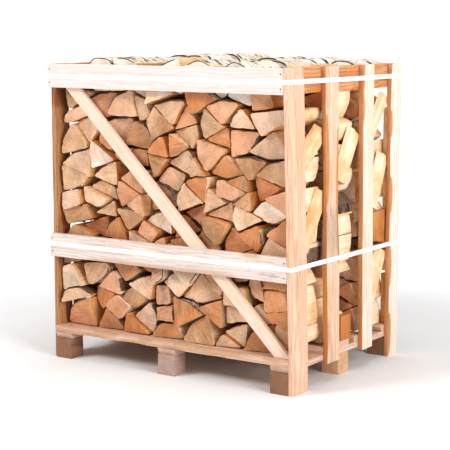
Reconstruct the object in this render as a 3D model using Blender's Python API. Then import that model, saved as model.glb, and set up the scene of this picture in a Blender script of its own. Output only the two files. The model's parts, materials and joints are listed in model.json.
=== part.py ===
"""A pallet crate of split firewood, strapped twice round.

The stack stands on the floor with its front towards -Y. The logs lie front to back in three rows,
their ends to the front, inside a crate of sawn boards nailed to a block pallet. The straps have
pulled the front right corner of the crate in at the top, and everything in it follows that lean.
"""

import heapq
import math
import random

import bmesh
import bpy
import numpy as np
from mathutils import Vector

# Driving dimensions, in metres.
WIDTH = 1.09
DEPTH = 0.79
FRAME_TOP = 1.13
LEAN = 0.030
BOARD = 0.020
GAP = 0.0003

# Pallet.
BLOCK_SIDE = 0.075
BLOCK_HEIGHT = 0.078
BLOCK_EDGE = 0.002
STRINGER_THICK = 0.022
STRINGER_CHAMFER = 0.010
DECK_THICK = 0.024
DECK_FRONT_WIDTH = 0.100
DECK_INNER_WIDTH = 0.080
DECK_INNER_PLACES = (0.285, 0.395, 0.510)
DECK_WANE = 0.002

# Crate. A brace's head and foot are (across, height) on its middle line.
RAIL_HEIGHT = 0.091
MIDDLE_RAIL_BOTTOM = 0.394
BRACE_WIDTH = 0.047
BRACE_HEAD = (-0.508, 1.106)
BRACE_FOOT = (0.495, 0.120)
BRACE_TOP_SETBACK = 0.004

# Uprights from the front corner: start and width along the depth, whether it reaches the floor, and wane.
UPRIGHTS = (
    (0.000, 0.104, True, 0.0015),
    (0.238, 0.093, False, 0.0050),
    (0.501, 0.080, False, 0.0020),
    (0.710, 0.080, True, 0.0050),
)
SHORT_UPRIGHT_FOOT = 0.068
BOARD_SECTIONS = 6
RAIL_WANE = 0.0012

# Straps.
STRAP_HEIGHT = 0.017
STRAP_THICK = 0.001
STRAP_LEVELS = {"top_strap": 1.0825, "middle_strap": 0.444}
STRAP_CORNER_STEPS = 3
STRAP_MERGE = 0.00005

# The pile of logs: its rows, the seed and the number of joined lots of each, the room that it fills,
# how far a log may slide front to back in its row, and how far from the brace one has to be to stick out
# beside it, which it does by at least a share of the room.
ROWS = 3
ROW_NAMES = ("front_row", "middle_row", "back_row")
ROW_SEEDS = (11, 23, 37)
ROW_PARTS = (7, 3, 6)
PILE_RIGHT = 0.4945
PILE_LEFT = -0.522
PILE_LEFT_AT_RAIL = -0.502
RAIL_CLEARANCE = 0.004
PILE_FOOT = 0.1270
# The heap's crown: its top and its edge, its middle and half its length, and how deep its logs lie under it.
HEAP_TOP = 1.166
HEAP_EDGE = 1.138
HEAP_MIDDLE = -0.10
HEAP_REACH = 0.60
HEAP_DEEP = 0.080
END_PLAY = 0.018
BRACE_CLEARANCE = 0.006
LEAST_REACH = 0.5

# Stacking: the skyline's column width, then the turns and draws that are tried for each log, the weight
# of the empty space under it and the depth to which that counts, how much a split spreads as it lies on
# its broad side, and the weight of the height by which it lies higher than flat.
COLUMN = 0.002
TURNS = 24
TURN_JITTER = 0.6
DRAWS = 3
VOID_WEIGHT = 2.5
VOID_MOST = 0.030
LIE_WIDE = 1.06
LIE_LOW = 0.84
LIE_WEIGHT = 0.4
HEAP_BARK_TILT = 0.7
# How far a log settles into its neighbours, how far joined logs press into each other, the least overlap
# that still joins two, the gap between logs that aren't joined, and the shortest edge that has a direction.
SINK = 0.0012
PRESS = 0.0020
MITRE_MOST = 0.003
LEAST_WELD = 0.0004
LOG_GAP = 0.0005
SHORTEST_EDGE = 0.00001
# Settling: the rounds, then how much a log grows, shifts and turns in each, and how far its neighbours are.
SWELL_ROUNDS = 80
SWELL_STEP = 0.02
SWELL_MOST = 1.38
SWELL_MOVE = 0.003
SWELL_TURN = 0.05
SWELL_REACH = 0.050
# Beside a wall: how near to it a log has to be to lie flat against it, and the shares of its height that
# are tried to each side of its tip.
WALL_REACH = 0.055
WALL_SHARES = (0.45, 0.35, 0.25, 0.15, 0.05)

# Loose splits between the pile and the right uprights:
# centre along the depth from the front, centre height, lean in degrees, width, length.
LEANING_SPLITS = (
    (0.178, 0.846, 38.0, 0.080, 0.215),
    (0.190, 0.590, 54.0, 0.070, 0.235),
    (0.428, 0.800, 58.0, 0.080, 0.220),
    (0.648, 0.930, 53.0, 0.058, 0.205),
    (0.660, 0.690, 66.0, 0.068, 0.215),
    (0.652, 0.330, 62.0, 0.072, 0.210),
)
SPLIT_THICK = 0.0235
SPLIT_BELLY = 0.004
# A short offcut standing on the deck beside them: its near and far side from the front, and its height.
OFFCUT = (0.376, 0.448, 0.092)

DECK_TOP = BLOCK_HEIGHT + STRINGER_THICK + DECK_THICK
FRONT = -DEPTH / 2
BACK = DEPTH / 2
SIDE_IN = WIDTH / 2 - BOARD

COLOURS = {
    "pallet_block": ("c79a6e", 0.85),
    "pallet_board": ("dcb489", 0.80),
    "crate_board": ("f0d3b0", 0.72),
    "brace_batten": ("f3dcc0", 0.72),
    "strap_plastic": ("f6f6f4", 0.35),
    "split_birch": ("dcaa78", 0.80),
}


# ---------------------------------------------------------------- helpers


def clear_scene():
    """Removes what the scene holds."""
    for old in list(bpy.data.objects):
        bpy.data.objects.remove(old)


def linear(channel):
    """One sRGB channel, 0 to 1, as linear light."""
    if channel <= 0.04045:
        return channel / 12.92
    return ((channel + 0.055) / 1.055) ** 2.4


def material(kind):
    """The Principled material of one kind of wood or plastic."""
    found = bpy.data.materials.get(kind)
    if found:
        return found
    code, roughness = COLOURS[kind]
    made = bpy.data.materials.new(kind)
    made.use_nodes = True
    shader = made.node_tree.nodes["Principled BSDF"]
    rgb = [linear(int(code[k : k + 2], 16) / 255) for k in (0, 2, 4)]
    shader.inputs["Base Color"].default_value = (*rgb, 1.0)
    shader.inputs["Roughness"].default_value = roughness
    shader.inputs["Metallic"].default_value = 0.0
    return made


def leaned(x, y, z):
    """The point after the straps have pulled the front right corner in."""
    rise = max(0.0, z - DECK_TOP) / (FRAME_TOP - DECK_TOP)
    pull = LEAN * rise * (0.5 - y / DEPTH) * (0.5 + x / WIDTH)
    return Vector((x - pull, y, z))


def lean_rings(rings):
    """The rings of points with the crate's lean."""
    return [[leaned(*point) for point in ring] for ring in rings]


def loft(mesh_data, rings, closed=False):
    """Adds a skin through rings of points to a bmesh: capped at both ends, or closed on itself."""
    rows = [[mesh_data.verts.new(point) for point in ring] for ring in rings]
    pairs = list(zip(rows, rows[1:]))
    if closed:
        pairs.append((rows[-1], rows[0]))
    for here, there in pairs:
        for k in range(len(here)):
            after = (k + 1) % len(here)
            mesh_data.faces.new((here[k], here[after], there[after], there[k]))
    if not closed:
        mesh_data.faces.new(rows[0][::-1])
        mesh_data.faces.new(rows[-1])


def finished(name, mesh_data, kind, parent):
    """Turns a bmesh into a named object with its material, under its parent."""
    bmesh.ops.recalc_face_normals(mesh_data, faces=mesh_data.faces)
    mesh = bpy.data.meshes.new(name)
    mesh_data.to_mesh(mesh)
    mesh_data.free()
    return placed(name, mesh, kind, parent)


def placed(name, mesh, kind, parent):
    """Links a mesh to the scene as a named object."""
    mesh.materials.clear()
    mesh.materials.append(material(kind))
    made = bpy.data.objects.new(name, mesh)
    bpy.context.collection.objects.link(made)
    made.parent = parent
    return made


def group(name):
    """An empty that holds the pieces of one sub-assembly."""
    made = bpy.data.objects.new(name, None)
    bpy.context.collection.objects.link(made)
    return made


def even(start, end, count):
    """Places that cut a length into a count of equal stretches."""
    return [start + (end - start) * k / count for k in range(count + 1)]


def plank(name, low, high, along, kind, parent, wane=0.0, places=None, edge=None):
    """A sawn board between two corners. Its long edges wander inwards by up to the wane at each place."""
    rng = random.Random(name)
    across = edge if edge is not None else {0: 2, 1: 2, 2: 1}[along]
    flat = 3 - along - across
    mesh_data = bmesh.new()
    rings = []
    for place in places or (low[along], high[along]):
        narrow = low[across] + wane * rng.random()
        wide = high[across] - wane * rng.random()
        ring = []
        for a, t in ((narrow, low[flat]), (wide, low[flat]), (wide, high[flat]), (narrow, high[flat])):
            point = [0.0, 0.0, 0.0]
            point[along], point[across], point[flat] = place, a, t
            ring.append(point)
        rings.append(ring)
    loft(mesh_data, lean_rings(rings))
    return finished(name, mesh_data, kind, parent)


# ---------------------------------------------------------------- pallet


def pallet():
    """Nine blocks, three stringers front to back and five deck boards across."""
    parent = group("pallet")
    half = BLOCK_SIDE / 2
    across = {"left": -SIDE_IN + half, "middle": 0.0, "right": SIDE_IN - half}
    deep = {"front": FRONT + half, "centre": 0.0, "back": BACK - half}
    for row, y in deep.items():
        for column, x in across.items():
            block(f"block_{row}_{column}", x, y, parent)
    for column, x in across.items():
        stringer(f"stringer_{column}", x, parent)
    deck_boards(parent)


def block(name, x, y, parent):
    """One square block with eased edges, standing on the floor."""
    mesh_data = bmesh.new()
    bmesh.ops.create_cube(mesh_data, size=1.0)
    size = Vector((BLOCK_SIDE, BLOCK_SIDE, BLOCK_HEIGHT))
    bmesh.ops.scale(mesh_data, vec=size, verts=mesh_data.verts)
    made = finished(name, mesh_data, "pallet_block", parent)
    made.location = (x, y, BLOCK_HEIGHT / 2)
    eased = made.modifiers.new("eased edges", "BEVEL")
    eased.width = BLOCK_EDGE
    eased.segments = 1
    return made


def stringer(name, x, parent):
    """A board front to back on three blocks, its ends chamfered underneath."""
    half = BLOCK_SIDE / 2
    low = BLOCK_HEIGHT + GAP
    high = BLOCK_HEIGHT + STRINGER_THICK
    rings = []
    for y, lift in (
        (FRONT, STRINGER_CHAMFER),
        (FRONT + STRINGER_CHAMFER, 0.0),
        (BACK - STRINGER_CHAMFER, 0.0),
        (BACK, STRINGER_CHAMFER),
    ):
        foot = low + lift
        rings.append([(x - half, y, foot), (x + half, y, foot), (x + half, y, high), (x - half, y, high)])
    mesh_data = bmesh.new()
    loft(mesh_data, rings)
    return finished(name, mesh_data, "pallet_board", parent)


def deck_boards(parent):
    """Five boards across the stringers."""
    low = BLOCK_HEIGHT + STRINGER_THICK + GAP
    spans = {"front": (FRONT, FRONT + DECK_FRONT_WIDTH), "back": (BACK - DECK_FRONT_WIDTH, BACK)}
    for name, place in zip(("near", "middle", "far"), DECK_INNER_PLACES):
        centre = FRONT + place
        spans[name] = (centre - DECK_INNER_WIDTH / 2, centre + DECK_INNER_WIDTH / 2)
    for name, (start, end) in spans.items():
        low_corner = (-SIDE_IN + GAP, start, low)
        high_corner = (SIDE_IN - GAP, end, DECK_TOP)
        places = even(low_corner[0], high_corner[0], 3)
        plank(f"deck_board_{name}", low_corner, high_corner, 0, "pallet_board", parent, DECK_WANE, places, 1)


# ---------------------------------------------------------------- crate


def uprights(parent):
    """Four boards up each side. The left ones stand between the front and back rails."""
    for k, (start, width, grounded, wane) in enumerate(UPRIGHTS, 1):
        foot = 0.0 if grounded else SHORT_UPRIGHT_FOOT
        places = [foot, *even(DECK_TOP, FRAME_TOP, BOARD_SECTIONS)]
        near = FRONT + start
        far = near + width
        low = (SIDE_IN + GAP, near, foot)
        high = (WIDTH / 2, far, FRAME_TOP)
        plank(f"right_upright_{k}", low, high, 2, "crate_board", parent, wane, places)
        low = (-WIDTH / 2, max(near, FRONT + BOARD + GAP), foot)
        high = (-SIDE_IN - GAP, min(far, BACK - BOARD - GAP), FRAME_TOP)
        plank(f"left_upright_{k}", low, high, 2, "crate_board", parent, wane, places)


def rails(parent):
    """Top and middle rails on the front and back, and a top rail inside the uprights on each side."""
    levels = {"top": FRAME_TOP - RAIL_HEIGHT, "middle": MIDDLE_RAIL_BOTTOM}
    faces = {"front": (FRONT, FRONT + BOARD), "back": (BACK - BOARD, BACK)}
    for face, (near, far) in faces.items():
        for level, foot in levels.items():
            low = (-WIDTH / 2, near, foot)
            high = (SIDE_IN - GAP, far, foot + RAIL_HEIGHT)
            places = even(low[0], high[0], BOARD_SECTIONS)
            plank(f"{face}_{level}_rail", low, high, 0, "crate_board", parent, RAIL_WANE, places)
    for side, (inner, outer) in {
        "left": (-SIDE_IN, -SIDE_IN + BOARD),
        "right": (SIDE_IN - BOARD, SIDE_IN - GAP),
    }.items():
        low = (inner, FRONT + BOARD + GAP, levels["top"])
        high = (outer, BACK - BOARD - GAP, FRAME_TOP)
        places = even(low[1], high[1], BOARD_SECTIONS)
        plank(f"{side}_top_rail", low, high, 1, "crate_board", parent, RAIL_WANE, places, 2)


def clipped(polygon, normal, limit):
    """The part of a convex polygon where normal . point is at most the limit."""
    kept = []
    for k, here in enumerate(polygon):
        there = polygon[(k + 1) % len(polygon)]
        over_here = float(here @ normal) - limit
        over_there = float(there @ normal) - limit
        if over_here <= 0:
            kept.append(here)
        if (over_here < 0 < over_there) or (over_there < 0 < over_here):
            kept.append(here + (there - here) * over_here / (over_here - over_there))
    return kept


def brace(name, near, parent):
    """A batten behind the rails from the top left corner down to the deck at the right."""
    head = np.array(BRACE_HEAD)
    foot = np.array(BRACE_FOOT)
    run = (foot - head) / np.linalg.norm(foot - head)
    side = np.array((run[1], -run[0])) * BRACE_WIDTH / 2
    head = head - run * BRACE_WIDTH
    foot = foot + run * BRACE_WIDTH
    outline = [head - side, foot - side, foot + side, head + side]
    inner = SIDE_IN - BOARD - GAP
    for normal, limit in (
        ((-1.0, 0.0), inner),
        ((1.0, 0.0), SIDE_IN - GAP),
        ((0.0, 1.0), FRAME_TOP - BRACE_TOP_SETBACK),
        ((0.0, -1.0), -DECK_TOP - GAP),
    ):
        outline = clipped(outline, np.array(normal), limit)
    far = near + BOARD - 2 * GAP
    mesh_data = bmesh.new()
    loft(mesh_data, lean_rings([[(x, y, z) for x, z in outline] for y in (near, far)]))
    return finished(name, mesh_data, "brace_batten", parent)


def crate():
    """Uprights, rails and braces."""
    parent = group("crate")
    uprights(parent)
    rails(parent)
    brace("front_brace", FRONT + BOARD + GAP, parent)
    brace("back_brace", BACK - 2 * BOARD + GAP, parent)


# ---------------------------------------------------------------- straps


def strap(name, level, parent):
    """A flat band drawn tight round the outside of the crate, turned round its four corners."""
    reach_x = WIDTH / 2 + GAP
    reach_y = DEPTH / 2 + GAP
    corners = ((1, -1, -90), (1, 1, 0), (-1, 1, 90), (-1, -1, 180))
    rings = []
    for sign_x, sign_y, start in corners:
        for step in range(STRAP_CORNER_STEPS + 1):
            angle = math.radians(start + 90 * step / STRAP_CORNER_STEPS)
            ring = []
            for out, lift in ((0.0, -0.5), (STRAP_THICK, -0.5), (STRAP_THICK, 0.5), (0.0, 0.5)):
                x = sign_x * reach_x + out * math.cos(angle)
                y = sign_y * reach_y + out * math.sin(angle)
                ring.append((x, y, level + lift * STRAP_HEIGHT))
            rings.append(ring)
    mesh_data = bmesh.new()
    loft(mesh_data, lean_rings(rings), closed=True)
    bmesh.ops.remove_doubles(mesh_data, verts=mesh_data.verts, dist=STRAP_MERGE)
    return finished(name, mesh_data, "strap_plastic", parent)


def straps():
    """The top and the middle strap."""
    parent = group("straps")
    for name, level in STRAP_LEVELS.items():
        strap(name, level, parent)


# ---------------------------------------------------------------- firewood: shapes


def arc_corners(radius, start, end, steps):
    """Corners of a polyline that runs as far outside an arc as inside it."""
    bulge = (1 + 1 / math.cos((end - start) / steps / 2)) / 2
    angles = [start + (end - start) * k / steps for k in range(steps + 1)]
    reach = [radius] + [radius * bulge] * (steps - 1) + [radius]
    return [(r * math.cos(a), r * math.sin(a)) for r, a in zip(reach, angles)]


def wedge(rng):
    """A round split to a wedge of about a quarter, its bark arc upwards."""
    spread = math.radians(rng.uniform(54, 92))
    radius = rng.uniform(0.110, 0.146)
    steps = 2 if spread < 1.45 else 3
    middle = math.pi / 2
    return [(0.0, 0.0), *arc_corners(radius, middle - spread / 2, middle + spread / 2, steps)]


def half_round(rng):
    """A thin round split once, its bark arc upwards."""
    radius = rng.uniform(0.062, 0.080)
    squash = rng.uniform(0.82, 1.05)
    return [(x, y * squash) for x, y in arc_corners(radius, 0.0, math.pi, 3)]


def squared(rng):
    """A heartwood piece with four split faces."""
    wide = rng.uniform(0.086, 0.116)
    tall = wide * rng.uniform(0.66, 0.95)
    skew = rng.uniform(-0.012, 0.012)
    return [(0.0, 0.0), (wide, skew), (wide * 0.94, tall), (rng.uniform(0.0, 0.012), tall * 0.95)]


def sliver(rng):
    """A three-cornered piece split off a wedge."""
    wide = rng.uniform(0.104, 0.138)
    return [(0.0, 0.0), (wide, 0.0), (wide * rng.uniform(0.3, 0.7), wide * rng.uniform(0.55, 0.80))]


SHAPES = (wedge, wedge, wedge, wedge, half_round, squared, sliver)
HEAP_SHAPES = (half_round, half_round, wedge)


def centred(corners):
    """Corners counter-clockwise, moved so that their mean is at zero."""
    outline = np.array(corners)
    outline = outline - outline.mean(axis=0)
    after = np.roll(outline, -1, axis=0)
    area = (outline[:, 0] * after[:, 1] - outline[:, 1] * after[:, 0]).sum()
    return outline if area > 0 else outline[::-1]


def turned(outline, angle):
    """The outline turned about zero."""
    c, s = math.cos(angle), math.sin(angle)
    return outline @ np.array(((c, s), (-s, c)))


# ---------------------------------------------------------------- firewood: stacking


def profile(outline, top):
    """Heights of the outline's lower or upper edge above each column that it covers."""
    low = outline[:, 0].min()
    count = int((outline[:, 0].max() - low) / COLUMN) + 1
    xs = low + COLUMN * np.arange(count)
    heights = np.full(count, -np.inf if top else np.inf)
    for a, b in zip(outline, np.roll(outline, -1, axis=0)):
        if abs(a[0] - b[0]) < 1e-9:
            continue
        inside = (xs >= min(a[0], b[0]) - 1e-9) & (xs <= max(a[0], b[0]) + 1e-9)
        along = (xs - a[0]) / (b[0] - a[0])
        height = a[1] + (b[1] - a[1]) * along
        better = height > heights if top else height < heights
        heights = np.where(inside & better, height, heights)
    return heights


def left_wall(top):
    """How far left a log may reach whose top is at a height."""
    return np.where(top > FRAME_TOP - RAIL_HEIGHT - RAIL_CLEARANCE, PILE_LEFT_AT_RAIL, PILE_LEFT)


def roof(x):
    """Height of the heap's crown over a place along the row."""
    return HEAP_EDGE + (HEAP_TOP - HEAP_EDGE) * (1 - ((x - HEAP_MIDDLE) / HEAP_REACH) ** 2)


def best_place(skyline, outline, headroom):
    """(cost, column, height) of the lowest and tightest place for an outline, or None."""
    under = profile(outline, False)
    windows = np.lib.stride_tricks.sliding_window_view(skyline, len(under))
    rest = (windows - under).max(axis=1)
    empty = np.minimum(rest[:, None] + under - windows, VOID_MOST).mean(axis=1)
    starts = PILE_LEFT + COLUMN * np.arange(len(rest)) - outline[:, 0].min()
    xs = starts[:, None] + outline[:, 0]
    zs = rest[:, None] + outline[:, 1]
    fits = (xs.max(axis=1) <= PILE_RIGHT) & (xs.min(axis=1) >= left_wall(zs.max(axis=1)))
    fits &= (zs <= roof(xs) - headroom).all(axis=1)
    if not fits.any():
        return None
    cost = np.where(fits, rest + under.mean() + VOID_WEIGHT * empty, np.inf)
    column = int(cost.argmin())
    return float(cost[column]), column, float(rest[column])


def ways_to_lie(outline, rng, bark_up):
    """The outline turned and spread each way that is tried, with how much higher than flat it lies."""
    angles = [2 * math.pi * (k + rng.random() * TURN_JITTER) / TURNS for k in range(TURNS)]
    upright = [angle for angle in angles if not bark_up or math.cos(angle) >= HEAP_BARK_TILT]
    ways = [turned(outline, angle) * (LIE_WIDE, LIE_LOW) for angle in upright]
    heights = [float(np.ptp(way[:, 1])) for way in ways]
    return [(way, height - min(heights)) for way, height in zip(ways, heights)]


def drop_log(skyline, shapes, rng, headroom, bark_up):
    """Draws a few splits, tries each way round and sets down the one that lies lowest and tightest."""
    best = None
    for _ in range(DRAWS):
        for way, rise in ways_to_lie(centred(rng.choice(shapes)(rng)), rng, bark_up):
            found = best_place(skyline, way, headroom)
            if found is None:
                continue
            cost = found[0] + LIE_WEIGHT * rise
            if best is None or cost < best[0]:
                best = (cost, *found[1:], way)
    if best is None:
        return None
    _, column, rest, outline = best
    over = profile(outline, True)
    spot = slice(column, column + len(over))
    skyline[spot] = np.maximum(skyline[spot], rest + over - SINK)
    shift = (PILE_LEFT + COLUMN * column - outline[:, 0].min(), rest)
    return outline + np.array(shift)


def stack_row(seed):
    """Outlines of one row's logs, set down one by one until the crate is full and heaped."""
    rng = random.Random(seed)
    columns = int((PILE_RIGHT - PILE_LEFT) / COLUMN) + 1
    skyline = np.full(columns, PILE_FOOT)
    outlines = []
    for shapes, headroom, bark_up in ((SHAPES, HEAP_DEEP, False), (HEAP_SHAPES, 0.0, True)):
        while True:
            outline = drop_log(skyline, shapes, rng, headroom, bark_up)
            if outline is None:
                break
            outlines.append(outline)
    return against_walls(swell(outlines, rng))


def neighbours(outlines):
    """For each log, the others that lie near it."""
    near = {k: [] for k in range(len(outlines))}
    for i, j in near_pairs(outlines, SWELL_REACH):
        near[i].append(j)
        near[j].append(i)
    return near


def headroom_of(outline):
    """How far a log stays under the heap's crown: not at all where it belongs to the crown."""
    return 0.0 if (outline[:, 1] > roof(outline[:, 0]) - HEAP_DEEP).any() else HEAP_DEEP


def swell(outlines, rng):
    """Lets each log grow, shift and turn a little into the hollows round it."""
    settled = list(outlines)
    sizes = [1.0] * len(settled)
    near = neighbours(settled)
    for _ in range(SWELL_ROUNDS):
        for k, outline in enumerate(settled):
            growth = min(1 + SWELL_STEP * rng.random(), SWELL_MOST / sizes[k])
            middle = outline.mean(axis=0)
            shift = np.array((rng.uniform(-1, 1), rng.uniform(-1, 1))) * SWELL_MOVE
            tried = turned(outline - middle, SWELL_TURN * rng.uniform(-1, 1)) * growth + middle + shift
            if fits_crate(tried, headroom_of(outline)) and clear_of(tried, settled, near[k]):
                settled[k] = tried
                sizes[k] *= growth
    return settled


def hull(points):
    """The convex outline round some points, counter-clockwise."""
    halves = []
    for ordered in (sorted(map(tuple, points)), sorted(map(tuple, points), reverse=True)):
        half = []
        for x, z in ordered:
            while len(half) > 1:
                (ax, az), (bx, bz) = half[-2:]
                if (bx - ax) * (z - az) > (bz - az) * (x - ax):
                    break
                half.pop()
            half.append((x, z))
        halves += half[:-1]
    return np.array(halves)


def against_walls(outlines):
    """Broadens the logs beside the walls, as far as there is room, until they lie flat against them."""
    settled = list(outlines)
    near = neighbours(settled)
    for k, outline in enumerate(outlines):
        low, high = outline[:, 1].min(), outline[:, 1].max()
        left, right = outline[outline[:, 0].argmin()], outline[outline[:, 0].argmax()]
        for wall, tip in ((float(left_wall(high)), left), (PILE_RIGHT, right)):
            if abs(tip[0] - wall) > WALL_REACH:
                continue
            for share in WALL_SHARES:
                rise = share * (high - low)
                foot, head = np.clip((tip[1] - rise, tip[1] + rise), low, high)
                tried = hull([*settled[k], (wall, foot), (wall, head)])
                if fits_crate(tried, headroom_of(outline)) and clear_of(tried, settled, near[k]):
                    settled[k] = tried
                    break
    return settled


def fits_crate(outline, headroom):
    """Whether an outline stays between the walls and the deck, with some headroom under the crown."""
    x, z = outline[:, 0], outline[:, 1]
    inside = x.max() <= PILE_RIGHT and z.min() >= PILE_FOOT and (z <= roof(x) - headroom).all()
    return bool(inside and x.min() >= left_wall(z.max()))


def clear_of(outline, outlines, others):
    """Whether an outline presses into none of the others by more than the sink."""
    low, high = outline.min(axis=0), outline.max(axis=0)
    for k in others:
        other = outlines[k]
        if (other.max(axis=0) < low).any() or (other.min(axis=0) > high).any():
            continue
        if parting(outline, other)[0] < -SINK:
            return False
    return True


def parting(a, b):
    """(distance, normal, middle) of the line that best parts two convex outlines."""
    best = (-np.inf, None, 0.0)
    for outline, sign in ((a, 1.0), (b, -1.0)):
        along = np.roll(outline, -1, axis=0) - outline
        along = along[np.linalg.norm(along, axis=1) > SHORTEST_EDGE]
        normals = sign * outward(along)
        near = (a @ normals.T).max(axis=0)
        far = (b @ normals.T).min(axis=0)
        k = int((far - near).argmax())
        if far[k] - near[k] > best[0]:
            best = (float(far[k] - near[k]), normals[k], float(far[k] + near[k]) / 2)
    return best


def near_pairs(outlines, margin):
    """Pairs of outlines whose boxes come within the margin of each other."""
    low = np.array([o.min(axis=0) for o in outlines]) - margin / 2
    high = np.array([o.max(axis=0) for o in outlines]) + margin / 2
    for i in range(len(outlines)):
        meets = ((low[i] < high) & (low < high[i])).all(axis=1)
        for j in np.flatnonzero(meets):
            if j > i:
                yield i, int(j)


# ---------------------------------------------------------------- firewood: solids


def pressed(outline):
    """The outline with every edge moved out by the depth to which logs press into each other."""
    before = np.roll(outline, 1, axis=0)
    after = np.roll(outline, -1, axis=0)
    out_before = outward(outline - before)
    out_after = outward(after - outline)
    mitre = out_before + out_after
    return outline + mitre * (PRESS / (mitre * out_after).sum(axis=1))[:, None].clip(-MITRE_MOST, MITRE_MOST)


def outward(edges):
    """Unit normals to the right of each edge."""
    normals = np.stack((edges[:, 1], -edges[:, 0]), axis=1)
    return normals / np.linalg.norm(normals, axis=1)[:, None]


def touching_logs(outlines, members, depth):
    """For each member, the other members that it presses into by more than a depth."""
    found = {k: [] for k in members}
    for i, j in near_pairs(outlines, LOG_GAP):
        if i in found and j in found and parting(outlines[i], outlines[j])[0] < -depth:
            found[i].append(j)
            found[j].append(i)
    return found


def grown_tree(touching, heights, root):
    """For each log that can be reached from the root, the log that carries it, lowest first."""
    carriers = {root: None}
    waiting = [(heights[j], j, root) for j in touching[root]]
    heapq.heapify(waiting)
    while waiting:
        _, log, carrier = heapq.heappop(waiting)
        if log in carriers:
            continue
        carriers[log] = carrier
        for other in touching[log]:
            if other not in carriers:
                heapq.heappush(waiting, (heights[other], other, log))
    return carriers


def lots_of(carriers, parts):
    """Cuts the tree of carried logs into connected lots of like size."""
    aim = math.ceil(len(carriers) / parts)
    below = {log: [log] for log in carriers}
    lots = []
    for log in reversed(list(carriers)):
        if carriers[log] is None or (len(below[log]) >= aim and len(lots) < parts - 1):
            lots.append(below[log])
        else:
            below[carriers[log]] += below[log]
    return lots


def parted(outlines, welds):
    """Trims every two logs that touch to a fine gap, but for the pairs that stay joined."""
    trimmed = list(outlines)
    for i, j in near_pairs(outlines, LOG_GAP):
        distance, normal, middle = parting(trimmed[i], trimmed[j])
        if distance > LOG_GAP or frozenset((i, j)) in welds:
            continue
        trimmed[i] = np.array(clipped(list(trimmed[i]), normal, middle - LOG_GAP / 2))
        trimmed[j] = np.array(clipped(list(trimmed[j]), -normal, -middle - LOG_GAP / 2))
    return trimmed


def log_solid(mesh_data, outline, span):
    """Adds one log as a prism between its two ends."""
    loft(mesh_data, [[(x, y, z) for x, z in outline] for y in span])


def helper(name, solids):
    """A hidden object that holds some logs for the union."""
    mesh_data = bmesh.new()
    for outline, span in solids:
        log_solid(mesh_data, outline, span)
    made = finished(name, mesh_data, "split_birch", None)
    made.hide_render = True
    made.display_type = "WIRE"
    return made


def united(name, solids, parent):
    """One closed body of logs that are joined where they press on each other."""
    if len(solids) == 1:
        mesh_data = bmesh.new()
        log_solid(mesh_data, *solids[0])
        return finished(name, mesh_data, "split_birch", parent)
    base = helper("logs_base", solids[:-1])
    tool = helper("logs_tool", solids[-1:])
    join = base.modifiers.new("join", "BOOLEAN")
    join.operation = "UNION"
    join.solver = "EXACT"
    join.use_self = True
    join.object = tool
    graph = bpy.context.evaluated_depsgraph_get()
    mesh = bpy.data.meshes.new_from_object(base.evaluated_get(graph))
    mesh.name = name
    for used in (base, tool):
        bpy.data.objects.remove(used)
    return placed(name, mesh, "split_birch", parent)


def lots_in_row(outlines, parts):
    """The row as lots that each hold together once they are parted: (outlines, lots)."""
    heights = [float(outline[:, 1].mean()) for outline in outlines]
    touching = touching_logs(outlines, range(len(outlines)), LEAST_WELD)
    carriers = grown_tree(touching, heights, 0)
    lots = lots_of(carriers, parts)
    lot_of = {log: k for k, lot in enumerate(lots) for log in lot}
    welds = {frozenset(link) for link in carriers.items() if lot_of[link[0]] == lot_of.get(link[1])}
    while True:
        trimmed = parted(outlines, welds)
        loose = loose_logs(trimmed, lots, heights)
        beside = {j for i in loose for j in touching[i]}
        more = links_within(lot_of, touching, loose) - welds or links_within(lot_of, touching, beside) - welds
        if not more:
            break
        welds |= more
    lots = [[log for log in lot if log not in loose] for lot in lots]
    while loose:
        freed = grown_tree(touching_logs(trimmed, loose, LEAST_WELD / 2), heights, loose[0])
        lots.append(list(freed))
        loose = [log for log in loose if log not in freed]
    lot_of = {log: k for k, lot in enumerate(lots) for log in lot}
    welds = {pair for pair in welds if len({lot_of[log] for log in pair}) == 1}
    return parted(outlines, welds), sorted(lots, key=min)


def links_within(lot_of, touching, logs):
    """The pairs of each of these logs with a log of the same lot that it presses into."""
    return {frozenset((i, j)) for i in logs if i in lot_of for j in touching[i] if lot_of[i] == lot_of.get(j)}


def loose_logs(outlines, lots, heights):
    """The logs that no longer hang together with the first log of their lot."""
    loose = []
    for lot in lots:
        held = grown_tree(touching_logs(outlines, lot, LEAST_WELD / 2), heights, lot[0])
        loose += [log for log in lot if log not in held]
    return loose


def row_of_logs(row, parent):
    """One row of the stack, as a few lots of logs that press on each other."""
    rng = random.Random(ROW_SEEDS[row])
    deep = (DEPTH - 4 * BOARD) / ROWS
    near = FRONT + 2 * BOARD + row * deep + GAP
    far = near + deep - 2 * GAP
    stacked = [leaned_outline(pressed(outline), (near + far) / 2) for outline in stack_row(ROW_SEEDS[row])]
    outlines, lots = lots_in_row(stacked, ROW_PARTS[row])
    starts = [near + END_PLAY * rng.random() for _ in outlines]
    spans = [(start, start + far - near - END_PLAY) for start in starts]
    reaches = [rng.uniform(LEAST_REACH, 1.0) * room_beside_brace(outline) for outline in outlines]
    if row == 0:
        spans = [(start - reach, end) for (start, end), reach in zip(spans, reaches)]
    if row == ROWS - 1:
        spans = [(start, end + reach) for (start, end), reach in zip(spans, reaches)]
    for k, lot in enumerate(lots, 1):
        united(f"{ROW_NAMES[row]}_logs_{k}", [(outlines[i], spans[i]) for i in lot], parent)
    print(f"{ROW_NAMES[row]}: {sum(map(len, lots))} of {len(outlines)} logs in {len(lots)} lots")


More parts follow.
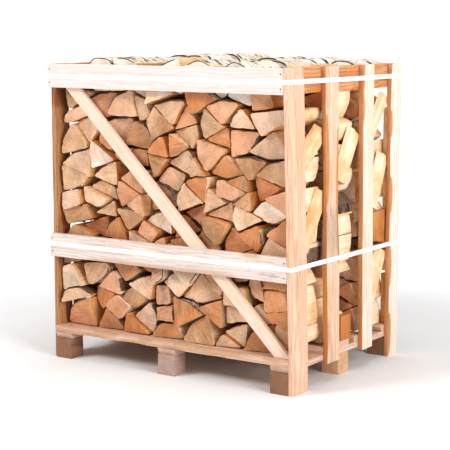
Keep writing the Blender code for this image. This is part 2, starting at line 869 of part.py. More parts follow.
def room_beside_brace(outline):
    """How far a log may stick out past the brace: up to the rails, unless the brace crosses it."""
    head = np.array(BRACE_HEAD)
    run = np.array(BRACE_FOOT) - head
    run /= np.linalg.norm(run)
    offsets = (outline - head) @ np.array((-run[1], run[0]))
    reach = BRACE_WIDTH / 2 + BRACE_CLEARANCE
    crossed = offsets.min() < reach and offsets.max() > -reach
    return 0.0 if crossed else BOARD - 2 * GAP


def leaned_outline(outline, y):
    """A log's outline with the lean that the crate has at a depth."""
    return np.array([leaned(x, y, z).xz for x, z in outline])


def leaning_split(name, place, parent):
    """A loose split wedged at a slant between the pile and the right uprights."""
    deep, height, lean, width, length = place
    along = Vector((0.0, math.cos(math.radians(lean)), math.sin(math.radians(lean))))
    across = Vector((0.0, -along.z, along.y)) * width / 2
    outer = SIDE_IN - GAP
    inner = outer - SPLIT_THICK
    centre = Vector((0.0, FRONT + deep, height))
    rings = []
    for end in (-0.5, 0.5):
        middle = centre + along * length * end
        corners = ((inner, -1.0), (outer, -0.92), (outer, 0.35), (inner + SPLIT_BELLY, 1.0))
        rings.append([middle + across * side + Vector((x, 0.0, 0.0)) for x, side in corners])
    mesh_data = bmesh.new()
    loft(mesh_data, lean_rings(rings))
    return finished(name, mesh_data, "split_birch", parent)


def firewood():
    """Three rows of logs, and the loose pieces beside them."""
    parent = group("firewood")
    for row in range(ROWS):
        row_of_logs(row, parent)
    for k, place in enumerate(LEANING_SPLITS, 1):
        leaning_split(f"leaning_split_{k}", place, parent)
    start, end, tall = OFFCUT
    low = (SIDE_IN - GAP - SPLIT_THICK, FRONT + start, DECK_TOP + GAP)
    high = (SIDE_IN - GAP, FRONT + end, DECK_TOP + tall)
    plank("short_offcut", low, high, 2, "split_birch", parent)


clear_scene()
pallet()
crate()
straps()
firewood()
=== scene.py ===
"""A strapped pallet crate of split birch firewood, dressed and lit.

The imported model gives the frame: boards, blocks, straps and the logs as plain prisms. Each of them is
made again here in its own solid's place, with sawn and split surfaces, wane, bark, nails and grain.
"""

import json
import logging
import math
import random
from dataclasses import dataclass, field
from enum import Enum

import bmesh
import bpy
import numpy as np
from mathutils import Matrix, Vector

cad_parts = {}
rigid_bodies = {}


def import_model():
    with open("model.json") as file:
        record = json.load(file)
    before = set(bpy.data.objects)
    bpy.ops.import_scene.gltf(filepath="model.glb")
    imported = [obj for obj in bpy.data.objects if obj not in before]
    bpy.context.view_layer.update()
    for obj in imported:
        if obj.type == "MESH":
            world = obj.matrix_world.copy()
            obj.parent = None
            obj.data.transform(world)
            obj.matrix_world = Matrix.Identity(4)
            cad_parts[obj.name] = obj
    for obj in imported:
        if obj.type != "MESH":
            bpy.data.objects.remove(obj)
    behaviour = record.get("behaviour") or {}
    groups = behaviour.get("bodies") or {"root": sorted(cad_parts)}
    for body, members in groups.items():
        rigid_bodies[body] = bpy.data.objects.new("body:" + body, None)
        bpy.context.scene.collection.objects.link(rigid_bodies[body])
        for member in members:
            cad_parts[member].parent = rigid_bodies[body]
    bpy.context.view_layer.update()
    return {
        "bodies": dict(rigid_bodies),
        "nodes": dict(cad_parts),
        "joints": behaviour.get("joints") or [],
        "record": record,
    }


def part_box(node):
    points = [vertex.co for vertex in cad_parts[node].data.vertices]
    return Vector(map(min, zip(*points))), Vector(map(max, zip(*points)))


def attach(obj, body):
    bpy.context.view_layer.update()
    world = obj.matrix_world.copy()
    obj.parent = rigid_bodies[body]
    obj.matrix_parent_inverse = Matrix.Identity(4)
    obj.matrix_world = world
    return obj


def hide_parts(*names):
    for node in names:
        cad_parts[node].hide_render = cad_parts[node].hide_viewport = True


LOG = logging.getLogger("firewood")
BODY = "root"
MM = 0.001
# At a scale of 1 the bands of a wave texture repeat after this length, and slanted ones after twice that.
WAVE_PERIOD = math.pi / 10
# A place in metres, or a turn in radians, that nothing on a log reaches.
NOWHERE = 9.0
# How deep a point counts as under the bark where no bark is near.
UNDER_BARK = 30.0 * MM
# Logs and boards start at random places along the grain, so that no two look alike; this far apart at most.
LOG_SPREAD = 9.0
BOARD_SPREAD = 40.0


# ---------------------------------------------------------------- colours and nodes


class Piece(Enum):
    """The random values and coordinates that a mesh hands to its materials."""

    TONE = "tone"
    SECTION = "section"
    GRAIN = "grain"


def linear_colour(code: str) -> tuple[float, float, float, float]:
    """Turns an sRGB hex code into linear light.

    Args:
        code: Six hex digits.

    Returns:
        Red, green, blue and an alpha of 1.
    """
    channels = [int(code[k : k + 2], 16) / 255 for k in (0, 2, 4)]
    lit = [c / 12.92 if c <= 0.04045 else ((c + 0.055) / 1.055) ** 2.4 for c in channels]
    return (*lit, 1.0)


def feed(tree: bpy.types.NodeTree, node: bpy.types.Node, inputs: dict) -> None:
    """Sets or links the inputs of a node.

    Args:
        tree: The node's tree.
        node: The node.
        inputs: For each input, by name or number, a value, a hex colour, or the socket or node that feeds it.
            A node feeds it from the first output that its settings leave in use.
    """
    for name, value in inputs.items():
        socket = node.inputs[name]
        if isinstance(value, bpy.types.Node):
            value = next(output for output in value.outputs if output.enabled)
        if isinstance(value, bpy.types.NodeSocket):
            tree.links.new(value, socket)
        elif socket.type == "RGBA":
            socket.default_value = linear_colour(value)
        else:
            socket.default_value = value


def add_node(tree: bpy.types.NodeTree, kind: str, inputs: dict | None = None, **settings) -> bpy.types.Node:
    """Adds one node with its settings, values and links.

    Args:
        tree: The tree that gets the node.
        kind: The node's type name.
        inputs: What its inputs are set to or linked with.
        settings: The node's own properties; stops are a ramp's places and hex colours.

    Returns:
        The new node.
    """
    node = tree.nodes.new(kind)
    for name, value in settings.items():
        if name != "stops":
            setattr(node, name, value)
            continue
        elements = node.color_ramp.elements
        while len(elements) < len(value):
            elements.new(1.0)
        for element, (place, code) in zip(elements, value):
            element.position = place
            element.color = linear_colour(code)
    feed(tree, node, inputs or {})
    return node


def chain(
    tree: bpy.types.NodeTree, start: object, *moves: tuple, kind: str = "ShaderNodeMath"
) -> bpy.types.Node:
    """Adds a row of nodes that each have an operation and pass their result to the next one's first input.

    Args:
        tree: The tree that gets the nodes.
        start: The value, socket or node that the row starts from.
        moves: For each node its operation and then its other inputs.
        kind: The type name of the nodes.

    Returns:
        The last node.
    """
    for operation, *others in moves:
        start = add_node(tree, kind, {0: start} | dict(enumerate(others, 1)), operation=operation)
    return start


def new_material(name: str) -> tuple[bpy.types.Material, bpy.types.NodeTree, bpy.types.Node]:
    """Starts a material with its Principled shader.

    Args:
        name: What the surface is.

    Returns:
        The material, its tree and its shader.
    """
    material = bpy.data.materials.new(name)
    material.use_nodes = True
    tree = material.node_tree
    return material, tree, tree.nodes["Principled BSDF"]


# ---------------------------------------------------------------- finishes


@dataclass(frozen=True)
class SawnEnd:
    """Cross-cut birch: dull, faintly furred by the saw, with growth rings and the bark's rim."""

    name: str = "crosscut_birch_end"
    stops: tuple = (
        (0.0, "f0e4d6"),
        (0.06, "dfc8b6"),
        (0.14, "deb793"),
        (0.30, "d39e7b"),
        (0.46, "ce9167"),
        (0.60, "c87d43"),
        (0.72, "b8875c"),
        (0.84, "d0a781"),
        (1.0, "dab49b"),
    )
    heart: str = "a96433"
    pith: str = "4a2c1a"
    rim: str = "4b3427"
    roughness: float = 0.86
    saturation: float = 0.94
    # Birch rings are 1 to 3 mm wide; they are drawn at 5 mm so that they show.
    ring_width: float = 5.0 * MM
    ring_depth: float = 0.13
    bend: float = 29.4 * MM
    bend_depth: float = 10.0 * MM
    # The marks of the saw's teeth are 2 to 4 mm apart; they are drawn at 8 mm so that they show.
    saw_pitch: float = 7.92 * MM
    saw_depth: float = 0.07
    # Torn fibres are under a millimetre wide; they are drawn in streaks of 6 mm so that they show.
    tear_width: float = 6.0 * MM
    tear_depth: tuple[float, float] = (0.3, 0.9)
    fur: float = 5.88 * MM
    fur_depth: float = 0.40
    blotch: float = 45.5 * MM
    blotch_depth: float = 0.85
    # Painted shade: broad patches, about an end wide, that darken one side of each end.
    painted_shading: float = 125.0 * MM
    painted_shading_depth: float = 0.60
    ray_turns: float = 9.0
    ray_depth: float = 0.62
    tint: float = 71.4 * MM
    tint_depth: float = 0.34
    heart_reach: tuple[float, float] = (52.0 * MM, 12.0 * MM)
    heart_depth: float = 0.55
    pith_reach: tuple[float, float] = (4.8 * MM, 3.4 * MM)
    pith_depth: float = 0.85
    rim_reach: tuple[float, float] = (5.2 * MM, 3.6 * MM)
    rim_depth: float = 0.92

    def material(self) -> bpy.types.Material:
        """Builds the material.

        Returns:
            The material.
        """
        material, tree, shader = new_material(self.name)
        place = add_node(tree, "ShaderNodeTexCoord").outputs["Object"]
        tone = add_node(tree, "ShaderNodeAttribute", attribute_name=Piece.TONE.value).outputs["Vector"]
        tone = add_node(tree, "ShaderNodeSeparateXYZ", {0: tone}).outputs
        section = add_node(tree, "ShaderNodeAttribute", attribute_name=Piece.SECTION.value).outputs["Vector"]
        section = add_node(tree, "ShaderNodeSeparateXYZ", {0: section}).outputs
        flat = add_node(tree, "ShaderNodeCombineXYZ", {0: section[0], 1: section[1]})
        radius = chain(tree, flat, ("LENGTH",), kind="ShaderNodeVectorMath")
        bend = add_node(tree, "ShaderNodeTexNoise", {"Vector": place, "Scale": 1 / self.bend, "Detail": 3.0})
        radius = chain(tree, bend, ("MULTIPLY_ADD", self.bend_depth, radius))
        tint = add_node(tree, "ShaderNodeTexNoise", {"Vector": place, "Scale": 1 / self.tint, "Detail": 2.0})
        tint = chain(tree, tint, ("SUBTRACT", 0.5), ("MULTIPLY_ADD", self.tint_depth, tone[0]))
        colour = add_node(tree, "ShaderNodeValToRGB", {0: tint}, stops=self.stops)
        # The heartwood is darker near the pith of some logs.
        darkness = chain(tree, tone[1], ("SUBTRACT", 0.45), ("MULTIPLY", 1.1), ("MAXIMUM", 0.0))
        outer, inner = self.heart_reach
        heart = add_node(tree, "ShaderNodeMapRange", {0: radius, 1: outer, 2: inner})
        heart = chain(tree, heart, ("MULTIPLY", darkness), ("MULTIPLY", self.heart_depth))
        outer, inner = self.pith_reach
        core = {0: radius, 1: outer, 2: inner, 3: 0.0, 4: self.pith_depth}
        core = add_node(tree, "ShaderNodeMapRange", core)
        for share, code in ((heart, self.heart), (core, self.pith)):
            colour = add_node(tree, "ShaderNodeMix", {0: share, 6: colour, 7: code}, data_type="RGBA")
        light, height = self.relief(tree, place, section, tone, radius)
        colour = {"Color": colour, "Saturation": self.saturation, "Value": light}
        colour = add_node(tree, "ShaderNodeHueSaturation", colour)
        outer, inner = self.rim_reach
        rim = {0: section[2], 1: outer, 2: inner, 3: 0.0, 4: self.rim_depth}
        rim = add_node(tree, "ShaderNodeMapRange", rim)
        colour = add_node(tree, "ShaderNodeMix", {0: rim, 6: colour, 7: self.rim}, data_type="RGBA")
        bump = add_node(tree, "ShaderNodeBump", {"Height": height, "Strength": 0.35, "Distance": 0.6 * MM})
        feed(tree, shader, {"Base Color": colour, "Normal": bump, "Roughness": self.roughness})
        return material

    def relief(
        self,
        tree: bpy.types.NodeTree,
        place: bpy.types.NodeSocket,
        section: bpy.types.bpy_prop_collection,
        tone: bpy.types.bpy_prop_collection,
        radius: bpy.types.Node,
    ) -> tuple[bpy.types.Node, bpy.types.Node]:
        """Works out the rings, the saw's marks, the patches of light and dark on the end, and the painted
        shade across it.

        Args:
            tree: The material's tree.
            place: Coordinates on the crate.
            section: The place about the pith, and the depth under the bark.
            tone: The log's random values.
            radius: The distance from the pith, bent as the rings are.

        Returns:
            How light a spot is, and how high.
        """
        rings = chain(tree, radius, ("MULTIPLY", 2 * math.pi / self.ring_width), ("SINE",), ("MULTIPLY", 0.5))
        blotch = {"Vector": place, "Scale": 1 / self.blotch, "Detail": 4.0, "Roughness": 0.62}
        blotch = add_node(tree, "ShaderNodeTexNoise", blotch)
        fur = add_node(tree, "ShaderNodeTexNoise", {"Vector": place, "Scale": 1 / self.fur, "Detail": 4.0})
        # Painted shade: a broad noise that darkens one side of the end.
        painted_shading = {"Vector": place, "Scale": 1 / self.painted_shading, "Detail": 1.0}
        painted_shading = add_node(tree, "ShaderNodeTexNoise", painted_shading)
        # The blade leaves long scratches and torn fibres, all one way on each end.
        cut = chain(tree, tone[2], ("MULTIPLY", 5.0))
        turned = add_node(tree, "ShaderNodeVectorRotate", {0: place, "Angle": cut}, rotation_type="Y_AXIS")
        torn = add_node(tree, "ShaderNodeMapping", {0: turned, "Scale": (1.0, 0.2, 0.09)})
        torn = {"Vector": torn, "Scale": 1 / self.tear_width, "Detail": 3.0, "Roughness": 0.6}
        torn["Distortion"] = 0.3
        torn = add_node(tree, "ShaderNodeTexNoise", torn)
        least, more = self.tear_depth
        harsh = chain(tree, tone[1], ("MULTIPLY_ADD", more, least))
        sawn = {"Vector": turned, "Scale": WAVE_PERIOD / self.saw_pitch, "Distortion": 1.5, "Detail": 2.0}
        saw = add_node(tree, "ShaderNodeTexWave", sawn, bands_direction="X").outputs["Fac"]
        angle = chain(tree, section[1], ("ARCTAN2", section[0]), ("MULTIPLY", self.ray_turns))
        rays = add_node(tree, "ShaderNodeCombineXYZ", {0: angle, 1: radius})
        rays = {"Vector": rays, "Scale": 2.2, "Detail": 4.0, "Roughness": 0.7}
        rays = add_node(tree, "ShaderNodeTexNoise", rays)
        light = chain(tree, rings, ("MULTIPLY_ADD", self.ring_depth, 1.0))
        for pattern, depth in (
            (blotch, self.blotch_depth),
            (fur, self.fur_depth),
            (torn, harsh),
            (painted_shading, self.painted_shading_depth),
            (saw, self.saw_depth),
            (rays, self.ray_depth),
        ):
            light = chain(tree, pattern, ("SUBTRACT", 0.5), ("MULTIPLY_ADD", depth, light))
        return light, chain(tree, torn, ("MULTIPLY_ADD", 1.5, saw), ("MULTIPLY_ADD", 1.0, rings))


@dataclass(frozen=True)
class SplitFace:
    """Cleft birch: long torn fibres with a soft sheen, warmer than the sawn ends."""

    name: str = "cleft_birch_face"
    stops: tuple = (
        (0.0, "fbe2c4"),
        (0.16, "f2cda0"),
        (0.30, "dfae7a"),
        (0.5, "cf9458"),
        (0.72, "bf7a3c"),
        (0.88, "cfa274"),
        (1.0, "e6c8a6"),
    )
    torn: str = "84502a"
    roughness: float = 0.72
    # Birch fibres are far under a millimetre; they are drawn in strands of 3 mm so that they show.
    fibre_width: float = 3.0 * MM
    strand: float = 14.3 * MM
    strand_depth: float = 0.6
    blotch: float = 62.5 * MM
    blotch_depth: float = 0.7

    def material(self) -> bpy.types.Material:
        """Builds the material.

        Returns:
            The material.
        """
        material, tree, shader = new_material(self.name)
        place = add_node(tree, "ShaderNodeTexCoord").outputs["Object"]
        tone = add_node(tree, "ShaderNodeAttribute", attribute_name=Piece.TONE.value).outputs["Vector"]
        tone = add_node(tree, "ShaderNodeSeparateXYZ", {0: tone}).outputs
        grain = add_node(tree, "ShaderNodeAttribute", attribute_name=Piece.GRAIN.value).outputs["Vector"]
        long = add_node(tree, "ShaderNodeMapping", {0: grain, "Scale": (0.05, 1.0, 1.0)})
        fine = {"Vector": long, "Scale": 1 / self.fibre_width, "Detail": 5.0, "Roughness": 0.65}
        fine["Distortion"] = 0.4
        fibre = add_node(tree, "ShaderNodeTexNoise", fine)
        strand = {"Vector": long, "Scale": 1 / self.strand, "Detail": 3.0}
        strand = add_node(tree, "ShaderNodeTexNoise", strand)
        blotch = {"Vector": place, "Scale": 1 / self.blotch, "Detail": 4.0}
        blotch = add_node(tree, "ShaderNodeTexNoise", blotch)
        pick = chain(tree, blotch, ("SUBTRACT", 0.5), ("MULTIPLY_ADD", self.blotch_depth, tone[1]))
        colour = add_node(tree, "ShaderNodeValToRGB", {0: pick}, stops=self.stops)
        streak = add_node(tree, "ShaderNodeMapRange", {0: fibre, 1: 0.52, 2: 0.75, 3: 0.0, 4: 0.42})
        colour = add_node(tree, "ShaderNodeMix", {0: streak, 6: colour, 7: self.torn}, data_type="RGBA")
        light = chain(tree, strand, ("SUBTRACT", 0.5), ("MULTIPLY_ADD", self.strand_depth, 1.0))
        colour = add_node(tree, "ShaderNodeHueSaturation", {"Color": colour, "Value": light})
        height = chain(tree, fibre, ("MULTIPLY_ADD", 1.0, strand))
        bump = add_node(tree, "ShaderNodeBump", {"Height": height, "Strength": 0.7, "Distance": 1.6 * MM})
        feed(tree, shader, {"Base Color": colour, "Normal": bump, "Roughness": self.roughness})
        return material


@dataclass(frozen=True)
class BirchBark:
    """Birch bark: papery and white with dark lenticels across the log, or grey-brown and cracked."""

    name: str = "birch_bark"
    white: str = "f3ebe0"
    cream: str = "e3cbb0"
    brown: str = "7d6654"
    inner: str = "b5784a"
    dark: str = "35281f"
    roughness: float = 0.62
    blotch: float = 58.8 * MM
    sheet: float = 143.0 * MM
    # Lenticels are 1 to 2 mm high; they are drawn at 5 mm so that they show.
    lenticel: float = 4.762 * MM
    scar: float = 26.32 * MM
    crack: float = 6.25 * MM

    def material(self) -> bpy.types.Material:
        """Builds the material.

        Returns:
            The material.
        """
        material, tree, shader = new_material(self.name)
        place = add_node(tree, "ShaderNodeTexCoord").outputs["Object"]
        tone = add_node(tree, "ShaderNodeAttribute", attribute_name=Piece.TONE.value).outputs["Vector"]
        tone = add_node(tree, "ShaderNodeSeparateXYZ", {0: tone}).outputs
        grain = add_node(tree, "ShaderNodeAttribute", attribute_name=Piece.GRAIN.value).outputs["Vector"]
        blotch = {"Vector": place, "Scale": 1 / self.blotch, "Detail": 5.0, "Roughness": 0.65}
        blotch = add_node(tree, "ShaderNodeTexNoise", blotch)
        sheet = {"Vector": place, "Scale": 1 / self.sheet, "Detail": 3.0}
        sheet = add_node(tree, "ShaderNodeTexNoise", sheet)
        pale = add_node(tree, "ShaderNodeMapRange", {0: sheet, 1: 0.38, 2: 0.62})
        skin = add_node(tree, "ShaderNodeMix", {0: pale, 6: self.cream, 7: self.white}, data_type="RGBA")
        # Tones over a half are the thick grey-brown bark of the trunk's foot.
        foot = chain(tree, tone[2], ("SUBTRACT", 0.5), ("MULTIPLY_ADD", 3.0, 0.5))
        foot = chain(tree, blotch, ("SUBTRACT", 0.5), ("MULTIPLY_ADD", 2.2, foot))
        foot = add_node(tree, "ShaderNodeMapRange", {0: foot, 1: 0.55, 2: 1.05})
        peel = add_node(tree, "ShaderNodeMapRange", {0: blotch, 1: 0.62, 2: 0.66, 3: 0.0, 4: 0.75})
        dash = add_node(tree, "ShaderNodeMapping", {0: grain, "Scale": (1.0, 0.16, 0.16)})
        dash = {"Vector": dash, "Scale": 1 / self.lenticel, "Detail": 2.0}
        dash = add_node(tree, "ShaderNodeTexNoise", dash)
        dash = add_node(tree, "ShaderNodeMapRange", {0: dash, 1: 0.585, 2: 0.64, 3: 0.0, 4: 0.9})
        scar = add_node(tree, "ShaderNodeMapping", {0: grain, "Scale": (1.0, 0.45, 0.45)})
        scar = add_node(tree, "ShaderNodeTexNoise", {"Vector": scar, "Scale": 1 / self.scar, "Detail": 4.0})
        scar = add_node(tree, "ShaderNodeMapRange", {0: scar, 1: 0.575, 2: 0.63})
        dark = chain(tree, dash, ("MAXIMUM", scar))
        for share, code in ((foot, self.brown), (peel, self.inner), (dark, self.dark)):
            skin = add_node(tree, "ShaderNodeMix", {0: share, 6: skin, 7: code}, data_type="RGBA")
        crack = {"Vector": place, "Scale": 1 / self.crack, "Detail": 4.0}
        crack = add_node(tree, "ShaderNodeTexNoise", crack)
        height = chain(tree, crack, ("MULTIPLY", foot), ("MULTIPLY_ADD", 1.6, dark))
        bump = add_node(tree, "ShaderNodeBump", {"Height": height, "Strength": 0.7, "Distance": 1.2 * MM})
        feed(tree, shader, {"Base Color": skin, "Normal": bump, "Roughness": self.roughness})
        return material


@dataclass(frozen=True)
class Stain:
    """A darker patch across a board: its colour, height above the floor, reach either way and strength."""

    level: float
    colour: str = "84421c"
    reach: float = 40.0 * MM
    depth: float = 0.95


@dataclass(frozen=True)
class SawnBoard:
    """Rough-sawn softwood: straight grain lines, furred fibres, a knot here and there, and some grime."""

    name: str
    pale: str
    mid: str
    line: str
    grime: str = "9b8f86"
    knot: str = "7d3f1c"
    wane: str = "c08048"
    stain: Stain | None = None
    grime_share: float = 0.25
    knot_share: float = 0.35
    contrast: float = 1.0
    roughness: float = 0.78
    # Softwood rings are 2 to 4 mm; on a flat-sawn face they spread to about 9 mm.
    ring_width: float = 9.0 * MM
    ring_depth: float = 0.42
    ring_bend: float = 55.0 * MM
    knot_bend: float = 10.0 * MM
    # Patterns stretched along the board, by their length and width. The fibres are really too fine to see;
    # they are drawn 2.2 mm wide so that they show.
    drift: tuple[float, float] = (454.5 * MM, 143.0 * MM)
    band: tuple[float, float] = (333.3 * MM, 38.5 * MM)
    blot: tuple[float, float] = (200.0 * MM, 58.8 * MM)
    fibre: tuple[float, float] = (62.86 * MM, 2.2 * MM)
    fibre_depth: float = 2.6
    # One knot at most in each such length, width and thickness of board.
    knot_cell: tuple[float, float, float] = (294.1 * MM, 111.0 * MM, 500.0 * MM)

    def material(self) -> bpy.types.Material:
        """Builds the material.

        Returns:
            The material.
        """
        material, tree, shader = new_material(self.name)
        tone = add_node(tree, "ShaderNodeAttribute", attribute_name=Piece.TONE.value).outputs["Vector"]
        tone = add_node(tree, "ShaderNodeSeparateXYZ", {0: tone}).outputs
        grain = add_node(tree, "ShaderNodeAttribute", attribute_name=Piece.GRAIN.value).outputs["Vector"]
        patterns = []
        for (length, width), detail, roughness in (
            (self.drift, 3.0, 0.5),
            (self.band, 4.0, 0.5),
            (self.blot, 6.0, 0.72),
            (self.fibre, 4.0, 0.6),
        ):
            scale = (1 / length, 1 / width, 1 / width)
            vector = add_node(tree, "ShaderNodeMapping", {0: grain, "Scale": scale})
            pattern = {"Vector": vector, "Scale": 1.0, "Detail": detail, "Roughness": roughness}
            patterns.append(add_node(tree, "ShaderNodeTexNoise", pattern))
        drift, band, blot, fibre = patterns
        # Rings about a pith that lies behind the board, bent a little along its length and round each knot.
        pith = {0: grain, "Location": (0.0, 10.0 * MM, 35.0 * MM), "Scale": (0.0, 1.0, 1.0)}
        radius = add_node(tree, "ShaderNodeMapping", pith)
        radius = chain(tree, radius, ("LENGTH",), kind="ShaderNodeVectorMath")
        radius = chain(tree, drift, ("MULTIPLY_ADD", self.ring_bend, radius))
        knots, near_knot = self.knots(tree, grain)
        radius = chain(tree, near_knot, ("MULTIPLY_ADD", self.knot_bend, radius))
        rings = chain(tree, radius, ("MULTIPLY", 2 * math.pi / self.ring_width), ("SINE",))
        rings = chain(tree, rings, ("MULTIPLY_ADD", 0.5, 0.5), ("POWER", 2.2))
        mix = chain(tree, tone[0], ("MULTIPLY", 0.45))
        mix = chain(tree, band, ("SUBTRACT", 0.42), ("MULTIPLY_ADD", 1.8 * self.contrast, mix))
        mix = chain(tree, mix, ("MAXIMUM", 0.0), ("MINIMUM", 1.0))
        lines = chain(tree, fibre, ("SUBTRACT", 0.46), ("MULTIPLY", self.fibre_depth), ("MAXIMUM", 0.0))
        lines = chain(tree, rings, ("MULTIPLY_ADD", self.ring_depth, lines))
        lines = chain(tree, lines, ("MULTIPLY", 0.62 * self.contrast), ("MINIMUM", 0.85))
        edge = 0.70 - 0.3 * self.grime_share
        blot = add_node(tree, "ShaderNodeMapRange", {0: blot, 1: edge, 2: edge + 0.12, 3: 0.0, 4: 0.6})
        colour = self.pale
        for share, code in ((mix, self.mid), (lines, self.line), (blot, self.grime), (knots, self.knot)):
            colour = add_node(tree, "ShaderNodeMix", {0: share, 6: colour, 7: code}, data_type="RGBA")
        colour = self.skin(tree, colour, band, fibre)
        height = chain(tree, fibre, ("MULTIPLY_ADD", 1.4, rings))
        bump = add_node(tree, "ShaderNodeBump", {"Height": height, "Strength": 0.45, "Distance": 0.7 * MM})
        feed(tree, shader, {"Base Color": colour, "Normal": bump, "Roughness": self.roughness})
        return material

    def skin(
        self, tree: bpy.types.NodeTree, colour: bpy.types.Node, band: bpy.types.Node, fibre: bpy.types.Node
    ) -> bpy.types.Node:
        """Lays over the sawn wood the colour of the wane, and of a stain across the board.

        Args:
            tree: The material's tree.
            colour: The sawn wood's colour.
            band: A broad pattern along the board.
            fibre: A fine pattern along the board.

        Returns:
            The colour of the whole board.
        """
        section = add_node(tree, "ShaderNodeAttribute", attribute_name=Piece.SECTION.value).outputs["Vector"]
        wane = add_node(tree, "ShaderNodeSeparateXYZ", {0: section}).outputs["X"]
        wane = chain(tree, band, ("SUBTRACT", 0.5), ("MULTIPLY_ADD", 1.1, wane))
        wane = add_node(tree, "ShaderNodeMapRange", {0: wane, 1: 0.25, 2: 0.80, 3: 0.0, 4: 0.9})
        light = chain(tree, fibre, ("SUBTRACT", 0.5), ("MULTIPLY_ADD", 1.1, 1.0))
        tint = add_node(tree, "ShaderNodeHueSaturation", {"Color": self.wane, "Value": light})
        colour = add_node(tree, "ShaderNodeMix", {0: wane, 6: colour, 7: tint}, data_type="RGBA")
        if self.stain is None:
            return colour
        reach = self.stain.reach
        place = add_node(tree, "ShaderNodeTexCoord").outputs["Object"]
        level = add_node(tree, "ShaderNodeSeparateXYZ", {0: place}).outputs["Z"]
        away = chain(tree, level, ("SUBTRACT", self.stain.level), ("ABSOLUTE",))
        away = chain(tree, band, ("SUBTRACT", 0.5), ("MULTIPLY_ADD", 3 * reach, away))
        near = {0: away, 1: reach, 2: 0.45 * reach, 3: 0.0, 4: self.stain.depth}
        near = add_node(tree, "ShaderNodeMapRange", near)
        streak = add_node(tree, "ShaderNodeMapRange", {0: fibre, 1: 0.36, 2: 0.60, 3: 0.25, 4: 1.0})
        share = chain(tree, near, ("MULTIPLY", streak))
        return add_node(tree, "ShaderNodeMix", {0: share, 6: colour, 7: self.stain.colour}, data_type="RGBA")

    def knots(
        self, tree: bpy.types.NodeTree, grain: bpy.types.NodeSocket
    ) -> tuple[bpy.types.Node, bpy.types.Node]:
        """Scatters knots of about 15 mm along the board.

        Args:
            tree: The material's tree.
            grain: Coordinates along, across and through the board.

        Returns:
            How much a point lies in a knot, and how near it is to one.
        """
        scale = tuple(1 / size for size in self.knot_cell)
        cells = add_node(tree, "ShaderNodeMapping", {0: grain, "Scale": scale})
        cells = add_node(tree, "ShaderNodeTexVoronoi", {"Vector": cells, "Scale": 1.0}, feature="F1")
        away, chance = cells.outputs["Distance"], cells.outputs["Color"]
        chance = add_node(tree, "ShaderNodeSeparateColor", {0: chance}).outputs["Red"]
        chance = chain(tree, chance, ("LESS_THAN", self.knot_share))
        inside = add_node(tree, "ShaderNodeMapRange", {0: away, 1: 0.075, 2: 0.055, 3: 0.0, 4: 0.85})
        near = add_node(tree, "ShaderNodeMapRange", {0: away, 1: 0.30, 2: 0.0})
        return chain(tree, inside, ("MULTIPLY", chance)), chain(tree, near, ("MULTIPLY", chance))


@dataclass(frozen=True)
class StrapPlastic:
    """Polypropylene strapping: white, a little glossy, with a pressed lattice of small ridges."""

    name: str = "white_polypropylene_strap"
    colour: str = "f5f5f3"
    shade: str = "dfe0e0"
    roughness: float = 0.34
    ior: float = 1.49
    # The pressed lattice is about 1.5 mm; it is drawn at 12 mm so that it shows.
    lattice: float = 11.87 * MM
    scuff: float = 22.2 * MM

    def material(self) -> bpy.types.Material:
        """Builds the material.

        Returns:
            The material.
        """
        material, tree, shader = new_material(self.name)
        place = add_node(tree, "ShaderNodeTexCoord").outputs["Object"]
        ridges = []
        for lean in (1.0, -1.0):
            slanted = add_node(tree, "ShaderNodeMapping", {0: place, "Scale": (1.0, 1.0, lean)})
            slanted = {"Vector": slanted, "Scale": 2 * WAVE_PERIOD / self.lattice}
            wave = add_node(tree, "ShaderNodeTexWave", slanted, bands_direction="DIAGONAL")
            ridges.append(wave.outputs["Fac"])
        lattice = chain(tree, ridges[0], ("MULTIPLY", ridges[1]))
        scuff = {"Vector": place, "Scale": 1 / self.scuff, "Detail": 4.0}
        scuff = add_node(tree, "ShaderNodeTexNoise", scuff)
        scuff = add_node(tree, "ShaderNodeMapRange", {0: scuff, 1: 0.4, 2: 0.75, 3: 0.0, 4: 0.5})
        colour = add_node(tree, "ShaderNodeMix", {0: scuff, 6: self.colour, 7: self.shade}, data_type="RGBA")
        bump = add_node(tree, "ShaderNodeBump", {"Height": lattice, "Strength": 0.3, "Distance": 0.2 * MM})
        given = {"Base Color": colour, "Normal": bump, "Roughness": self.roughness, "IOR": self.ior}
        feed(tree, shader, given)
        return material


@dataclass(frozen=True)
class NailSteel:
    """Bright drawn steel, hammered and dulled: small grey heads with a few brown specks."""

    name: str = "dull_steel_nail"
    colour: str = "8f8a84"
    rust: str = "5f4433"
    roughness: float = 0.5
    speck: float = 2.63 * MM

    def material(self) -> bpy.types.Material:
        """Builds the material.

        Returns:
            The material.
        """
        material, tree, shader = new_material(self.name)
        place = add_node(tree, "ShaderNodeTexCoord").outputs["Object"]
        specks = {"Vector": place, "Scale": 1 / self.speck, "Detail": 3.0}
        specks = add_node(tree, "ShaderNodeTexNoise", specks)
        share = add_node(tree, "ShaderNodeMapRange", {0: specks, 1: 0.5, 2: 0.68})
        colour = add_node(tree, "ShaderNodeMix", {0: share, 6: self.colour, 7: self.rust}, data_type="RGBA")
        bump = add_node(tree, "ShaderNodeBump", {"Height": specks, "Strength": 0.3, "Distance": 0.2 * MM})
        feed(tree, shader, {"Base Color": colour, "Normal": bump})
        feed(tree, shader, {"Roughness": self.roughness, "Metallic": 1.0})
        return material


